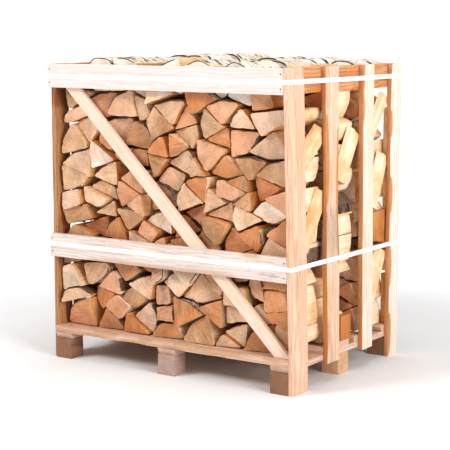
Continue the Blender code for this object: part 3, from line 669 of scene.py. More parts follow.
@dataclass(frozen=True)
class PaleFloor:
    """A smooth pale floor that fades into the white surround a few steps away."""

    name: str = "pale_floor"
    colour: str = "f4f4f4"
    shade: str = "ededee"
    glow: str = "ffffff"
    roughness: float = 0.9
    cloud: float = 667.0 * MM
    fade: tuple[float, float] = (0.9, 2.4)

    def material(self) -> bpy.types.Material:
        """Builds the material.

        Returns:
            The material.
        """
        material, tree, shader = new_material(self.name)
        place = add_node(tree, "ShaderNodeTexCoord").outputs["Object"]
        cloud = {"Vector": place, "Scale": 1 / self.cloud, "Detail": 3.0}
        cloud = add_node(tree, "ShaderNodeTexNoise", cloud)
        colour = add_node(tree, "ShaderNodeMix", {0: cloud, 6: self.colour, 7: self.shade}, data_type="RGBA")
        away = chain(tree, place, ("LENGTH",), kind="ShaderNodeVectorMath")
        away = {0: away, 1: self.fade[0], 2: self.fade[1]}
        away = add_node(tree, "ShaderNodeMapRange", away, interpolation_type="SMOOTHSTEP")
        colour = add_node(tree, "ShaderNodeMix", {0: away, 6: colour, 7: "000000"}, data_type="RGBA")
        feed(tree, shader, {"Base Color": colour, "Emission Color": self.glow, "Emission Strength": away})
        feed(tree, shader, {"Roughness": self.roughness, "Specular IOR Level": 0.0})
        return material


# ---------------------------------------------------------------- meshes


@dataclass
class MeshStack:
    """Gathers many closed shapes into one mesh, with their materials and attributes."""

    points: list = field(default_factory=list)
    faces: list = field(default_factory=list)
    slots: list = field(default_factory=list)
    tones: list = field(default_factory=list)
    sections: list = field(default_factory=list)
    grains: list = field(default_factory=list)
    count: int = 0

    def add(
        self, points: np.ndarray, tone: tuple, grain: np.ndarray, section: np.ndarray | None = None
    ) -> int:
        """Adds points with their attributes.

        Args:
            points: Places in metres, one row each.
            tone: Three random values of the piece.
            grain: Coordinates along, across and through the grain.
            section: For a log the place about its pith and the depth under its bark; for a board how much
                of each point is wane, and two zeros.

        Returns:
            The number of the first new point.
        """
        first = self.count
        self.points.append(points)
        self.tones.append(np.tile(tone, (len(points), 1)))
        self.grains.append(grain)
        self.sections.append(np.zeros_like(points) if section is None else section)
        self.count += len(points)
        return first

    def face(self, corners: list, slot: int) -> None:
        """Adds one face with its material slot."""
        self.faces.append([int(c) for c in corners])
        self.slots.append(slot)

    def band(self, low: int, high: int, slots: list[int]) -> None:
        """Joins two rings of points with four-cornered faces.

        Args:
            low: The number of the first ring's first point.
            high: The number of the second ring's first point.
            slots: The material slot of each face round the ring.
        """
        for j, slot in enumerate(slots):
            after = (j + 1) % len(slots)
            self.face([low + j, low + after, high + after, high + j], slot)

    def bar(
        self, rings: list[np.ndarray], tone: tuple, grain: np.ndarray, section: np.ndarray | None = None
    ) -> None:
        """Adds a closed bar through rings of points, with a flat face at each end, in the first material.

        Args:
            rings: The points of each ring.
            tone: Three random values of the piece.
            grain: Coordinates along, across and through the grain.
            section: How much of each point is wane, and two zeros.
        """
        count = len(rings[0])
        first = self.add(np.concatenate(rings), tone, grain, section)
        for k in range(len(rings) - 1):
            self.band(first + k * count, first + (k + 1) * count, [0] * count)
        for k in (0, len(rings) - 1):
            self.face(range(first + k * count, first + (k + 1) * count), 0)

    def make(self, name: str, materials: list, sharp_degrees: float = 38.0) -> bpy.types.Object:
        """Turns the gathered shapes into an object.

        Args:
            name: The piece's name.
            materials: Its materials, in the order of the slots.
            sharp_degrees: Edges that turn by more than this stay sharp.

        Returns:
            The new object.
        """
        mesh = bpy.data.meshes.new(name)
        mesh.from_pydata(np.concatenate(self.points).tolist(), [], self.faces)
        for material in materials:
            mesh.materials.append(material)
        mesh.polygons.foreach_set("material_index", self.slots)
        carried = {Piece.TONE: self.tones, Piece.SECTION: self.sections, Piece.GRAIN: self.grains}
        for kind, rows in carried.items():
            attribute = mesh.attributes.new(kind.value, "FLOAT_VECTOR", "POINT")
            attribute.data.foreach_set("vector", np.concatenate(rows).astype(np.float32).ravel())
        turn_outwards(mesh)
        mesh.shade_smooth()
        mesh.set_sharp_from_angle(angle=math.radians(sharp_degrees))
        return placed(name, mesh)


def turn_outwards(mesh: bpy.types.Mesh) -> None:
    """Turns the faces of a mesh of closed shapes outwards.

    Args:
        mesh: The mesh.
    """
    editing = bmesh.new()
    editing.from_mesh(mesh)
    bmesh.ops.recalc_face_normals(editing, faces=editing.faces)
    editing.to_mesh(mesh)
    editing.free()


def placed(name: str, data: bpy.types.ID) -> bpy.types.Object:
    """Puts a mesh, light or camera into the scene as a new object at the origin.

    Args:
        name: The object's name.
        data: What it shows.

    Returns:
        The object.
    """
    made = bpy.data.objects.new(name, data)
    bpy.context.scene.collection.objects.link(made)
    return made


def corners_of(mesh: bpy.types.Mesh) -> np.ndarray:
    """The different places of a solid's corners."""
    return np.unique(np.round([v.co[:] for v in mesh.vertices], 5), axis=0)


@dataclass
class Waves:
    """A smooth random surface: a few sines of two variables."""

    seed: int
    across: float
    along: float
    count: int = 5

    def __post_init__(self) -> None:
        """Draws the sines."""
        rng = np.random.default_rng(self.seed)
        self.pace = rng.normal(size=(self.count, 2)) * (self.across, self.along)
        self.start = rng.uniform(0, 2 * math.pi, self.count)

    def at(self, u: np.ndarray, v: np.ndarray) -> np.ndarray:
        """Heights from about -1 to 1 at the given places."""
        total = sum(np.sin(a * u + b * v + c) for (a, b), c in zip(self.pace, self.start))
        return np.clip(total / math.sqrt(self.count), -1.2, 1.2)

    def along_at(self, place: float) -> float:
        """The height at one place along."""
        return float(self.at(np.zeros(1), np.full(1, place))[0])


# ---------------------------------------------------------------- firewood


@dataclass(frozen=True)
class Perimeter:
    """A log's rounded outline: its points, which of them are bark, and where they lie on a split face."""

    points: np.ndarray
    bark: np.ndarray
    spot: np.ndarray


@dataclass
class LogForm:
    """One split log between two parallel ends of one outline.

    The outline's corners are rounded, and those that turn by arc_turn between long edges become bark. Each
    end is cut askew by a random tilt, and the near one also stands back by up to near_play.
    """

    corners: np.ndarray
    origin: Vector
    across: Vector
    up: Vector
    axis: Vector
    length: float
    seed: int
    fine_near: bool = True
    fine_far: bool = False
    bark_up: bool = False
    # Painted light: split faces kept pale where the side boards shade them.
    painted_pale: bool = False
    arc_turn: tuple[float, float] = (0.18, 1.15)
    arc_edge: float = 15.0 * MM
    arc_uneven: float = 3.5
    arc_bulge: float = 1.6
    bare_beyond: float = NOWHERE
    softness: tuple[float, float] = (6.0 * MM, 21.0 * MM)
    softest: float = 0.37
    spacing: float = 6.5 * MM
    tilt: float = 0.11
    tilt_most: float = 0.25
    near_play: float = 0.0
    taper: float = 0.06
    worn_rim: float = 0.988
    stations: tuple = (0.0, 0.012, 0.09, 0.2, 0.34, 0.5, 0.66, 0.8, 0.91, 0.988, 1.0)
    hollow: float = -1.2 * MM
    ripple: float = 2.2 * MM
    ripple_size: tuple[float, float] = (12.0 * MM, 90.0 * MM)
    rim_widths: tuple[float, float] = (3.8 * MM, 5.2 * MM)
    dark_bark: float = 0.55
    heap_bark: float = 0.48
    heap_end: float = 0.03
    least_end: float = 0.06
    # How far into the pale tones those painted-light split faces go.
    painted_pale_share: float = 0.24

    def build(self, stack: MeshStack) -> None:
        """Adds the log's closed mesh to a stack.

        Args:
            stack: What the mesh is added to.
        """
        rng = random.Random(self.seed)
        shape = self.perimeter(rng)
        count = len(shape.points)
        centre = shape.points.mean(axis=0)
        tone = self.tone(rng)
        pith = self.pith(shape, centre, rng)
        slope = np.clip([rng.gauss(0, self.tilt) for _ in range(4)], -self.tilt_most, self.tilt_most)
        recess = self.near_play * rng.random() ** 1.6
        taper = (1 - self.taper * rng.random(), 1 - self.taper * rng.random())
        rough = Waves(self.seed, 1 / self.ripple_size[0], 1 / self.ripple_size[1])
        rings = []
        for place in self.stations:
            scale = taper[0] * (1 - place) + taper[1] * place
            if place in (0.0, 1.0):
                scale *= self.worn_rim
            flat = centre + (shape.points - centre) * scale
            flat = flat + self.dent(shape, place * self.length, rough, centre)
            rings.append(self.lift(flat, place, slope, recess, centre))
        rows = len(self.stations)
        depth = np.where(shape.bark, 0.0, UNDER_BARK)
        section = np.column_stack((np.tile(shape.points - pith, (rows, 1)), np.tile(depth, rows)))
        along = np.repeat(self.stations, count) * self.length + rng.random() * LOG_SPREAD
        grain = np.column_stack((along, np.tile(shape.points, (rows, 1))))
        first = stack.add(np.concatenate(rings), tone, grain, section)
        slots = np.where(shape.bark | np.roll(shape.bark, -1), 2, 1).tolist()
        for k in range(rows - 1):
            stack.band(first + k * count, first + (k + 1) * count, slots)
        for end, fine in ((0, self.fine_near), (1, self.fine_far)):
            edge = first + (rows - 1) * count * end
            self.cap(stack, edge, rings[-end], shape, pith, tone, fine)

    def tone(self, rng: random.Random) -> tuple[float, float, float]:
        """Draws the log's tones.

        Args:
            rng: The log's own random draws.

        Returns:
            The tones of its ends, its split faces and its bark.
        """
        bark = rng.uniform(0.0, self.heap_bark) if self.bark_up else rng.random() ** self.dark_bark
        end = rng.random()
        end = end * self.heap_end if self.bark_up else self.least_end + (1 - self.least_end) * end
        # Painted light: split faces in the shade of the side boards take only the pale tones.
        return end, rng.random() * (self.painted_pale_share if self.painted_pale else 1.0), bark

    def perimeter(self, rng: random.Random) -> Perimeter:
        """Rounds the outline's corners, bows its bark and sets points along it.

        Args:
            rng: The log's own random draws.

        Returns:
            The points round the log.
        """
        corners = self.corners
        count = len(corners)
        ahead = np.roll(corners, -1, axis=0) - corners
        size = np.linalg.norm(ahead, axis=1)
        before = np.roll(size, 1)
        is_arc = self.barked(ahead, size, before)
        bark_edge = is_arc | np.roll(is_arc, -1)
        points, bark, spot = [], [], []
        cuts = np.where(is_arc, 0.5, 0.0)
        soft = np.array([rng.uniform(*self.softness) for _ in range(count)])
        for k in range(count):
            into = cuts[k] * before[k] if is_arc[k] else min(soft[k], self.softest * before[k])
            out = cuts[k] * size[k] if is_arc[k] else min(soft[k], self.softest * size[k])
            back = (corners[k - 1] - corners[k]) / before[k]
            forth = ahead[k] / size[k]
            start, end = corners[k] + back * into, corners[k] + forth * out
            weight = self.arc_bulge if is_arc[k] else 1.0
            for t in np.linspace(0, 1, 5 if is_arc[k] else 3):
                mix = np.array(((1 - t) ** 2, 2 * weight * t * (1 - t), t * t))
                points.append((mix[:, None] * np.array((start, corners[k], end))).sum(axis=0) / mix.sum())
                bark.append(bool(is_arc[k]))
                spot.append(0.0)
            after = (k + 1) % count
            stop = cuts[after] * size[k] if is_arc[after] else min(soft[after], self.softest * size[k])
            run = size[k] - out - stop
            inner = int(run / self.spacing)
            for j in range(1, inner):
                points.append(end + forth * run * j / inner)
                bark.append(bool(bark_edge[k]))
                spot.append(0.0 if bark_edge[k] else j / inner)
        points = np.array(points)
        keep = np.linalg.norm(points - np.roll(points, 1, axis=0), axis=1) > 0.6 * MM
        return Perimeter(points[keep], np.array(bark)[keep], np.array(spot)[keep])

    def barked(self, ahead: np.ndarray, size: np.ndarray, before: np.ndarray) -> np.ndarray:
        """Picks the corners that become bark: they turn a little, between two long edges of like size.

        Args:
            ahead: The edge that starts at each corner.
            size: Its length.
            before: The length of the edge that ends there.

        Returns:
            For each corner whether it is bark.
        """
        heading = np.arctan2(ahead[:, 1], ahead[:, 0])
        turn = (heading - np.roll(heading, 1) + math.pi) % (2 * math.pi) - math.pi
        picked = (turn > self.arc_turn[0]) & (turn < self.arc_turn[1])
        picked &= (size > self.arc_edge) & (before > self.arc_edge)
        picked &= (size < self.arc_uneven * before) & (before < self.arc_uneven * size)
        return picked & (self.corners[:, 0] < self.bare_beyond)

    def pith(self, shape: Perimeter, centre: np.ndarray, rng: random.Random) -> np.ndarray:
        """Places the tree's pith: at the middle of the bark's arc, or at random beside the log.

        Args:
            shape: The log's perimeter.
            centre: The middle of it.
            rng: The log's own random draws.

        Returns:
            The pith's place in the section.
        """
        rim = shape.points[shape.bark]
        if len(rim) < 4:
            angle = rng.uniform(0, 2 * math.pi)
            return centre + np.array((math.cos(angle), math.sin(angle))) * rng.uniform(10 * MM, 70 * MM)
        rows = np.column_stack((2 * rim, np.ones(len(rim))))
        found = np.linalg.lstsq(rows, (rim**2).sum(axis=1), rcond=None)[0][:2]
        away = found - centre
        reach = np.linalg.norm(away)
        return centre + away * min(1.0, 110 * MM / max(reach, 1e-6))

    def dent(self, shape: Perimeter, along: float, rough: Waves, centre: np.ndarray) -> np.ndarray:
        """Moves each point inwards or out: cleft faces are bowed and rippled, bark is knobbly.

        Args:
            shape: The log's perimeter.
            along: How far along the log it is.
            rough: The log's ripples.
            centre: The middle of the perimeter.

        Returns:
            How far each point moves.
        """
        turn = np.arctan2(shape.points[:, 1] - centre[1], shape.points[:, 0] - centre[0])
        radius = 50 * MM
        ripple = 0.5 + 0.5 * rough.at(turn * radius, np.full(len(turn), along))
        inner = np.clip(4 * shape.spot * (1 - shape.spot), 0, 1)
        depth = inner * self.hollow + np.sqrt(inner) * ripple * self.ripple + 0.4 * MM * ripple
        inwards = centre - shape.points
        inwards = inwards / np.maximum(np.linalg.norm(inwards, axis=1), 1e-6)[:, None]
        return inwards * depth[:, None]

    def lift(
        self, flat: np.ndarray, place: float, slope: np.ndarray, recess: float, centre: np.ndarray
    ) -> np.ndarray:
        """Sets a flat ring at its place along the log, between two ends that are cut a little askew.

        Args:
            flat: The ring's points in the section.
            place: Its share of the way along.
            slope: How much the near end and the far end lean, across and up.
            recess: How far the near end stands back.
            centre: The middle of the section.

        Returns:
            The ring's points on the crate.
        """
        offset = flat - centre
        near = offset @ slope[:2]
        far = offset @ slope[2:]
        near = near - near.min() + recess
        far = far - far.max() + self.length
        along = near * (1 - place) + far * place
        basis = np.array((self.across, self.up))
        return flat @ basis + np.array(self.origin) + along[:, None] * np.array(self.axis)

    def cap(
        self,
        stack: MeshStack,
        edge: int,
        ring: np.ndarray,
        shape: Perimeter,
        pith: np.ndarray,
        tone: tuple,
        fine: bool,
    ) -> None:
        """Closes an end with narrow rings at the rim, where the bark shows, and a fan.

        Args:
            stack: Where the faces go.
            edge: The number of the end's first point.
            ring: The end's points.
            shape: The log's perimeter.
            pith: The pith's place in the section.
            tone: The log's tones.
            fine: Whether the end is seen.
        """
        count = len(ring)
        middle = ring.mean(axis=0)
        centre = shape.points.mean(axis=0)
        reach = np.linalg.norm(ring - middle, axis=1)[:, None]
        insets = [(width / reach, width) for width in self.rim_widths] + [(0.5, UNDER_BARK)]
        last = edge
        for share, deep in insets if fine else ():
            inner = ring + (middle - ring) * share
            flat = shape.points + (centre - shape.points) * share
            depth = np.where(shape.bark, deep, UNDER_BARK)
            grain = np.column_stack((np.zeros(count), flat))
            first = stack.add(inner, tone, grain, np.column_stack((flat - pith, depth)))
            stack.band(last, first, [0] * count)
            last = first
        section = np.array([(*(centre - pith), UNDER_BARK)])
        tip = stack.add(middle[None], tone, np.array([(0.0, *centre)]), section)
        for j in range(count):
            stack.face([last + j, last + (j + 1) % count, tip], 0)


@dataclass(frozen=True)
class Outline:
    """The outline of a log's sawn end in the frame, and where its near and far ends are along Y."""

    corners: np.ndarray
    near: float
    far: float


@dataclass
class WoodPile:
    """All the logs, row by row, and the loose splits beside them.

    The walls are where the side boards begin, and a log within wall_reach of one is drawn out to it. Above
    heap_height the logs lie bark up. Past a line near the right wall the split faces are painted light, kept
    pale where the side boards shade them, and beyond bare_wall most logs show no bark.
    """

    materials: list
    least_area: float = 0.0004
    least_edge: float = 2.0 * MM
    least_bend: float = 0.03
    heap_height: float = 1.04
    extra_recess: float = 28.0 * MM
    looseness: float = 0.10
    wall_looseness: float = 0.3
    # Painted light: logs that reach past this line keep pale split faces in the side boards' shade.
    painted_pale_beyond: float = 0.44
    walls: tuple[float, float] = (-0.5178, 0.4962)
    wall_reach: float = 45.0 * MM
    bare_wall: float = 0.460
    barked_share: float = 0.25
    wedge_seed: int = 41
    wedge_length: tuple[float, float] = (0.17, 0.23)
    wedge_gap: tuple[float, float] = (1.0 * MM, 8.0 * MM)
    wedge_depths: tuple[float, float] = (78.0 * MM, 36.0 * MM)
    wedge_tops: tuple[float, float] = (0.80, 0.88)
    wedge_corners: tuple = ((0.0, 0.0), (0.9, 0.0), (1.0, 0.4), (0.95, 1.0), (0.1, 0.95))
    wedge_play: float = 0.06

    def build(self, frame: dict) -> list[bpy.types.Object]:
        """Makes every lot of logs again as one detailed mesh for each.

        Args:
            frame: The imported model.

        Returns:
            The new pieces.
        """
        made = []
        seed = 0
        nodes = sorted(frame["nodes"])
        for name in [node for node in nodes if "_row_logs_" in node]:
            stack = MeshStack()
            for outline in self.outlines(frame["nodes"][name].data):
                seed += 1
                self.log_form(outline, name, seed).build(stack)
            made.append(self.dress(stack, name))
        for name in [node for node in nodes if node.startswith("leaning_split")]:
            seed += 1
            stack = MeshStack()
            self.leaning_form(frame["nodes"][name].data, seed).build(stack)
            made.append(self.dress(stack, name))
        made.append(self.wedged())
        LOG.info("wood pile: %d pieces, %d logs", len(made), seed)
        return made

    def wedged(self) -> bpy.types.Object:
        """Stands thin splits on end in the gaps between the pile and the crate's side boards.

        They stand on each other behind the first left upright and in the back right corner, and a short one
        stands between two leaning splits.

        Returns:
            The new piece.
        """
        rng = random.Random(self.wedge_seed)
        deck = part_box("deck_board_back")[1].z
        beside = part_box("left_upright_1")[1]
        right = (self.walls[1] + 1.0 * MM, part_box("right_upright_4")[0].x - 1.5 * MM)
        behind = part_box("back_middle_rail")[0].y
        at_left = (
            (beside.x + 0.8 * MM, beside.y + 2.0 * MM),
            (self.walls[0] - 0.6 * MM, beside.y + self.wedge_depths[0]),
        )
        at_right = (right[0], behind - self.wedge_depths[1]), (right[1], behind - 2.0 * MM)
        stack = MeshStack()
        for (low, high), top in zip((at_left, at_right), self.wedge_tops):
            level = deck + 1.0 * MM
            while level < top:
                length = rng.uniform(*self.wedge_length)
                self.wedged_form(low, high, level, length, rng).build(stack)
                level += length + rng.uniform(*self.wedge_gap)
        above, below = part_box("leaning_split_5"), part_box("leaning_split_6")
        foot = below[1].z + 1.5 * MM
        low = right[0], above[0].y + 25.0 * MM
        high = right[1], above[1].y - 2.0 * MM
        self.wedged_form(low, high, foot, above[0].z - 4.0 * MM - foot, rng).build(stack)
        piece = stack.make("wedged_splits_wood", self.materials)
        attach(piece, BODY)
        return piece

    def wedged_form(
        self, low: tuple, high: tuple, level: float, length: float, rng: random.Random
    ) -> LogForm:
        """Describes one thin split that stands on end.

        Args:
            low: The lowest x and y that it may reach.
            high: The highest x and y.
            level: The height of its foot.
            length: Its length.
            rng: Random draws.

        Returns:
            The split's form.
        """
        size = np.array(high) - np.array(low)
        shares = np.array(self.wedge_corners)
        play = self.wedge_play
        shares = shares + np.array([(rng.uniform(-play, play), rng.uniform(-play, play)) for _ in shares])
        return LogForm(
            corners=np.array(low) + np.clip(shares, 0.0, 1.0) * size,
            origin=Vector((0.0, 0.0, level)),
            across=Vector((1.0, 0.0, 0.0)),
            up=Vector((0.0, 1.0, 0.0)),
            axis=Vector((0.0, 0.0, 1.0)),
            length=length,
            seed=rng.randrange(10**6),
            fine_far=True,
            arc_turn=(NOWHERE, NOWHERE),
            softness=(1.0 * MM, 2.0 * MM),
            taper=0.0,
            hollow=0.0,
            ripple=0.6 * MM,
        )

    def dress(self, stack: MeshStack, node: str) -> bpy.types.Object:
        """Turns a stack into the piece that replaces a node.

        Args:
            stack: The mesh of its logs.
            node: The node's name.

        Returns:
            The new piece.
        """
        piece = stack.make(node.replace("_logs_", "_split_logs_") + "_wood", self.materials)
        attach(piece, BODY)
        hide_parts(node)
        return piece

    def at_left_wall(self, corners: np.ndarray) -> bool:
        """Whether an outline is within reach of the left side boards."""
        return float(corners[:, 0].min()) < self.walls[0] + self.wall_reach

    def log_form(self, outline: Outline, node: str, seed: int) -> LogForm:
        """Describes a log that lies front to back.

        Args:
            outline: The outline of its solid.
            node: The node that the solid belongs to.
            seed: The log's seed.

        Returns:
            The log's form.
        """
        front, back = node.startswith("front"), node.startswith("back")
        keeps_bark = random.Random(seed + 5000).random() < self.barked_share
        return LogForm(
            corners=self.settled(outline.corners, random.Random(seed)),
            origin=Vector((0.0, outline.near, 0.0)),
            across=Vector((1.0, 0.0, 0.0)),
            up=Vector((0.0, 0.0, 1.0)),
            axis=Vector((0.0, 1.0, 0.0)),
            length=outline.far - outline.near,
            seed=seed,
            fine_near=front,
            fine_far=back,
            bark_up=float(outline.corners[:, 1].mean()) > self.heap_height,
            near_play=self.extra_recess if front and not self.at_left_wall(outline.corners) else 0.0,
            # Painted light: pale split faces near the right wall.
            painted_pale=float(outline.corners[:, 0].max()) > self.painted_pale_beyond,
            bare_beyond=NOWHERE if keeps_bark else self.bare_wall,
        )

    def settled(self, corners: np.ndarray, rng: random.Random) -> np.ndarray:
        """Draws an outline in towards the spot it rests on, and out to a wall that it leans on.

        Args:
            corners: The outline of the log's solid.
            rng: Random draws.

        Returns:
            The outline, with a loose pile's dark gaps round it.
        """
        foot = np.array((corners[:, 0].mean(), corners[:, 1].min()))
        looseness = self.looseness * rng.random()
        looseness *= self.wall_looseness if self.at_left_wall(corners) else 1.0
        loose = foot + (corners - foot) * (1 - looseness)
        middle = loose[:, 0].mean()
        for wall, tip in ((self.walls[0], loose[:, 0].min()), (self.walls[1], loose[:, 0].max())):
            if abs(wall - tip) < self.wall_reach and corners[:, 1].max() < self.heap_height:
                beside = (loose[:, 0] - middle) * (tip - middle) > 0
                stretch = np.where(beside, (wall - middle) / (tip - middle), 1.0)
                loose[:, 0] = middle + (loose[:, 0] - middle) * stretch
        return loose

    def outlines(self, mesh: bpy.types.Mesh) -> list[Outline]:
        """Reads the outlines of a lot's logs from its flat ends.

        Args:
            mesh: A lot's mesh in the frame.

        Returns:
            One outline for each log, from the left.
        """
        ends = {-1: {}, 1: {}}
        for polygon in mesh.polygons:
            if abs(polygon.normal.y) < 0.9999:
                continue
            corners = [mesh.vertices[k].co for k in polygon.vertices]
            place = round(sum(c.y for c in corners) / len(corners), 5)
            flat = [(round(c.x, 5), round(c.z, 5)) for c in corners]
            ends[-1 if polygon.normal.y < 0 else 1].setdefault(place, []).append(flat)
        backs = [(place, loop.mean(axis=0)) for place, group in ends[1].items() for loop in self.loops(group)]
        found = []
        for place, group in sorted(ends[-1].items()):
            for loop in self.loops(group):
                middle = loop.mean(axis=0)
                far = min(backs, key=lambda back: float(np.linalg.norm(back[1] - middle)))[0]
                found.append(Outline(loop, place, far))
        return sorted(found, key=lambda outline: float(outline.corners[:, 0].mean()))

    def loops(self, triangles: list) -> list[np.ndarray]:
        """Joins flat triangles into the outlines round them.

        Args:
            triangles: Corners of each triangle.

        Returns:
            Each outline large enough for a log, counter-clockwise.
        """
        edges = {}
        for corners in triangles:
            for here, there in zip(corners, corners[1:] + corners[:1]):
                if (there, here) in edges:
                    del edges[(there, here)]
                else:
                    edges[(here, there)] = True
        following = {here: there for here, there in edges}
        outlines = []
        while following:
            start, after = following.popitem()
            loop = [start]
            while after != start and after in following:
                loop.append(after)
                after = following.pop(after)
            outline = self.tidy(np.array(loop))
            if outline is not None:
                outlines.append(outline)
        return outlines

    def tidy(self, loop: np.ndarray) -> np.ndarray | None:
        """Drops an outline's points on straight stretches and at very short edges.

        Args:
            loop: The outline.

        Returns:
            What is left, counter-clockwise, or None if that is too small for a log.
        """
        for _ in range(3):
            if len(loop) < 3:
                return None
            back = np.roll(loop, 1, axis=0) - loop
            forth = np.roll(loop, -1, axis=0) - loop
            sizes = np.linalg.norm(back, axis=1), np.linalg.norm(forth, axis=1)
            cross = back[:, 0] * forth[:, 1] - back[:, 1] * forth[:, 0]
            bend = np.abs(cross) / np.maximum(sizes[0] * sizes[1], 1e-12)
            loop = loop[(bend > self.least_bend) & (sizes[0] > self.least_edge)]
        if len(loop) < 3:
            return None
        after = np.roll(loop, -1, axis=0)
        area = float((loop[:, 0] * after[:, 1] - loop[:, 1] * after[:, 0]).sum()) / 2
        if abs(area) < self.least_area:
            return None
        return loop if area > 0 else loop[::-1]

    def leaning_form(self, mesh: bpy.types.Mesh, seed: int) -> LogForm:
        """Describes a loose split from the two slanted ends of its solid.

        Args:
            mesh: The split's solid.
            seed: The split's seed.

        Returns:
            The split's form.
        """
        points = corners_of(mesh)
        spread = points - points.mean(axis=0)
        axis = np.linalg.svd(spread)[2][0]
        axis = axis if axis[2] > 0 else -axis
        ahead = spread @ axis
        near = points[ahead < 0]
        across = np.array((1.0, 0.0, 0.0))
        across = across - axis * axis[0]
        across /= np.linalg.norm(across)
        up = np.cross(axis, across)
        flat = np.column_stack((near @ across, near @ up))
        middle = flat.mean(axis=0)
        turn = np.arctan2(flat[:, 1] - middle[1], flat[:, 0] - middle[0])
        flat = flat[np.argsort(turn)]
        start = float((near @ axis).mean())
        return LogForm(
            corners=flat,
            origin=Vector(axis * start),
            across=Vector(across),
            up=Vector(up),
            axis=Vector(axis),
            length=float((points[ahead > 0] @ axis).mean()) - start,
            seed=seed,
            fine_far=True,
            arc_turn=(NOWHERE, NOWHERE),
            softness=(2.0 * MM, 6.0 * MM),
            hollow=0.8 * MM,
            ripple=1.0 * MM,
            # Painted light: the leaning splits keep pale split faces in the side boards' shade.
            painted_pale=True,
        )


# ---------------------------------------------------------------- boards


@dataclass(frozen=True)
class Wane:
    """Where a board keeps the tree's rounded edge.

    The corners are numbered as in BoardForm.sections. Depth is about how far the wane reaches down the edge,
    wave is about how long its waves are, and whole_edge gives the whole narrow edge its colour.
    """

    corners: tuple
    depth: float
    wave: float
    whole_edge: bool = False


def sawn_from(rng: random.Random, depth: float = 10.0 * MM) -> np.ndarray:
    """Draws where in the wood a piece was sawn.

    Args:
        rng: The piece's own random draws.
        depth: How far it may lie to and fro through the grain.

    Returns:
        A shift along, across and through the grain.
    """
    width = 20.0 * MM
    return np.array((rng.uniform(0, BOARD_SPREAD), rng.uniform(-width, width), rng.uniform(-depth, depth)))


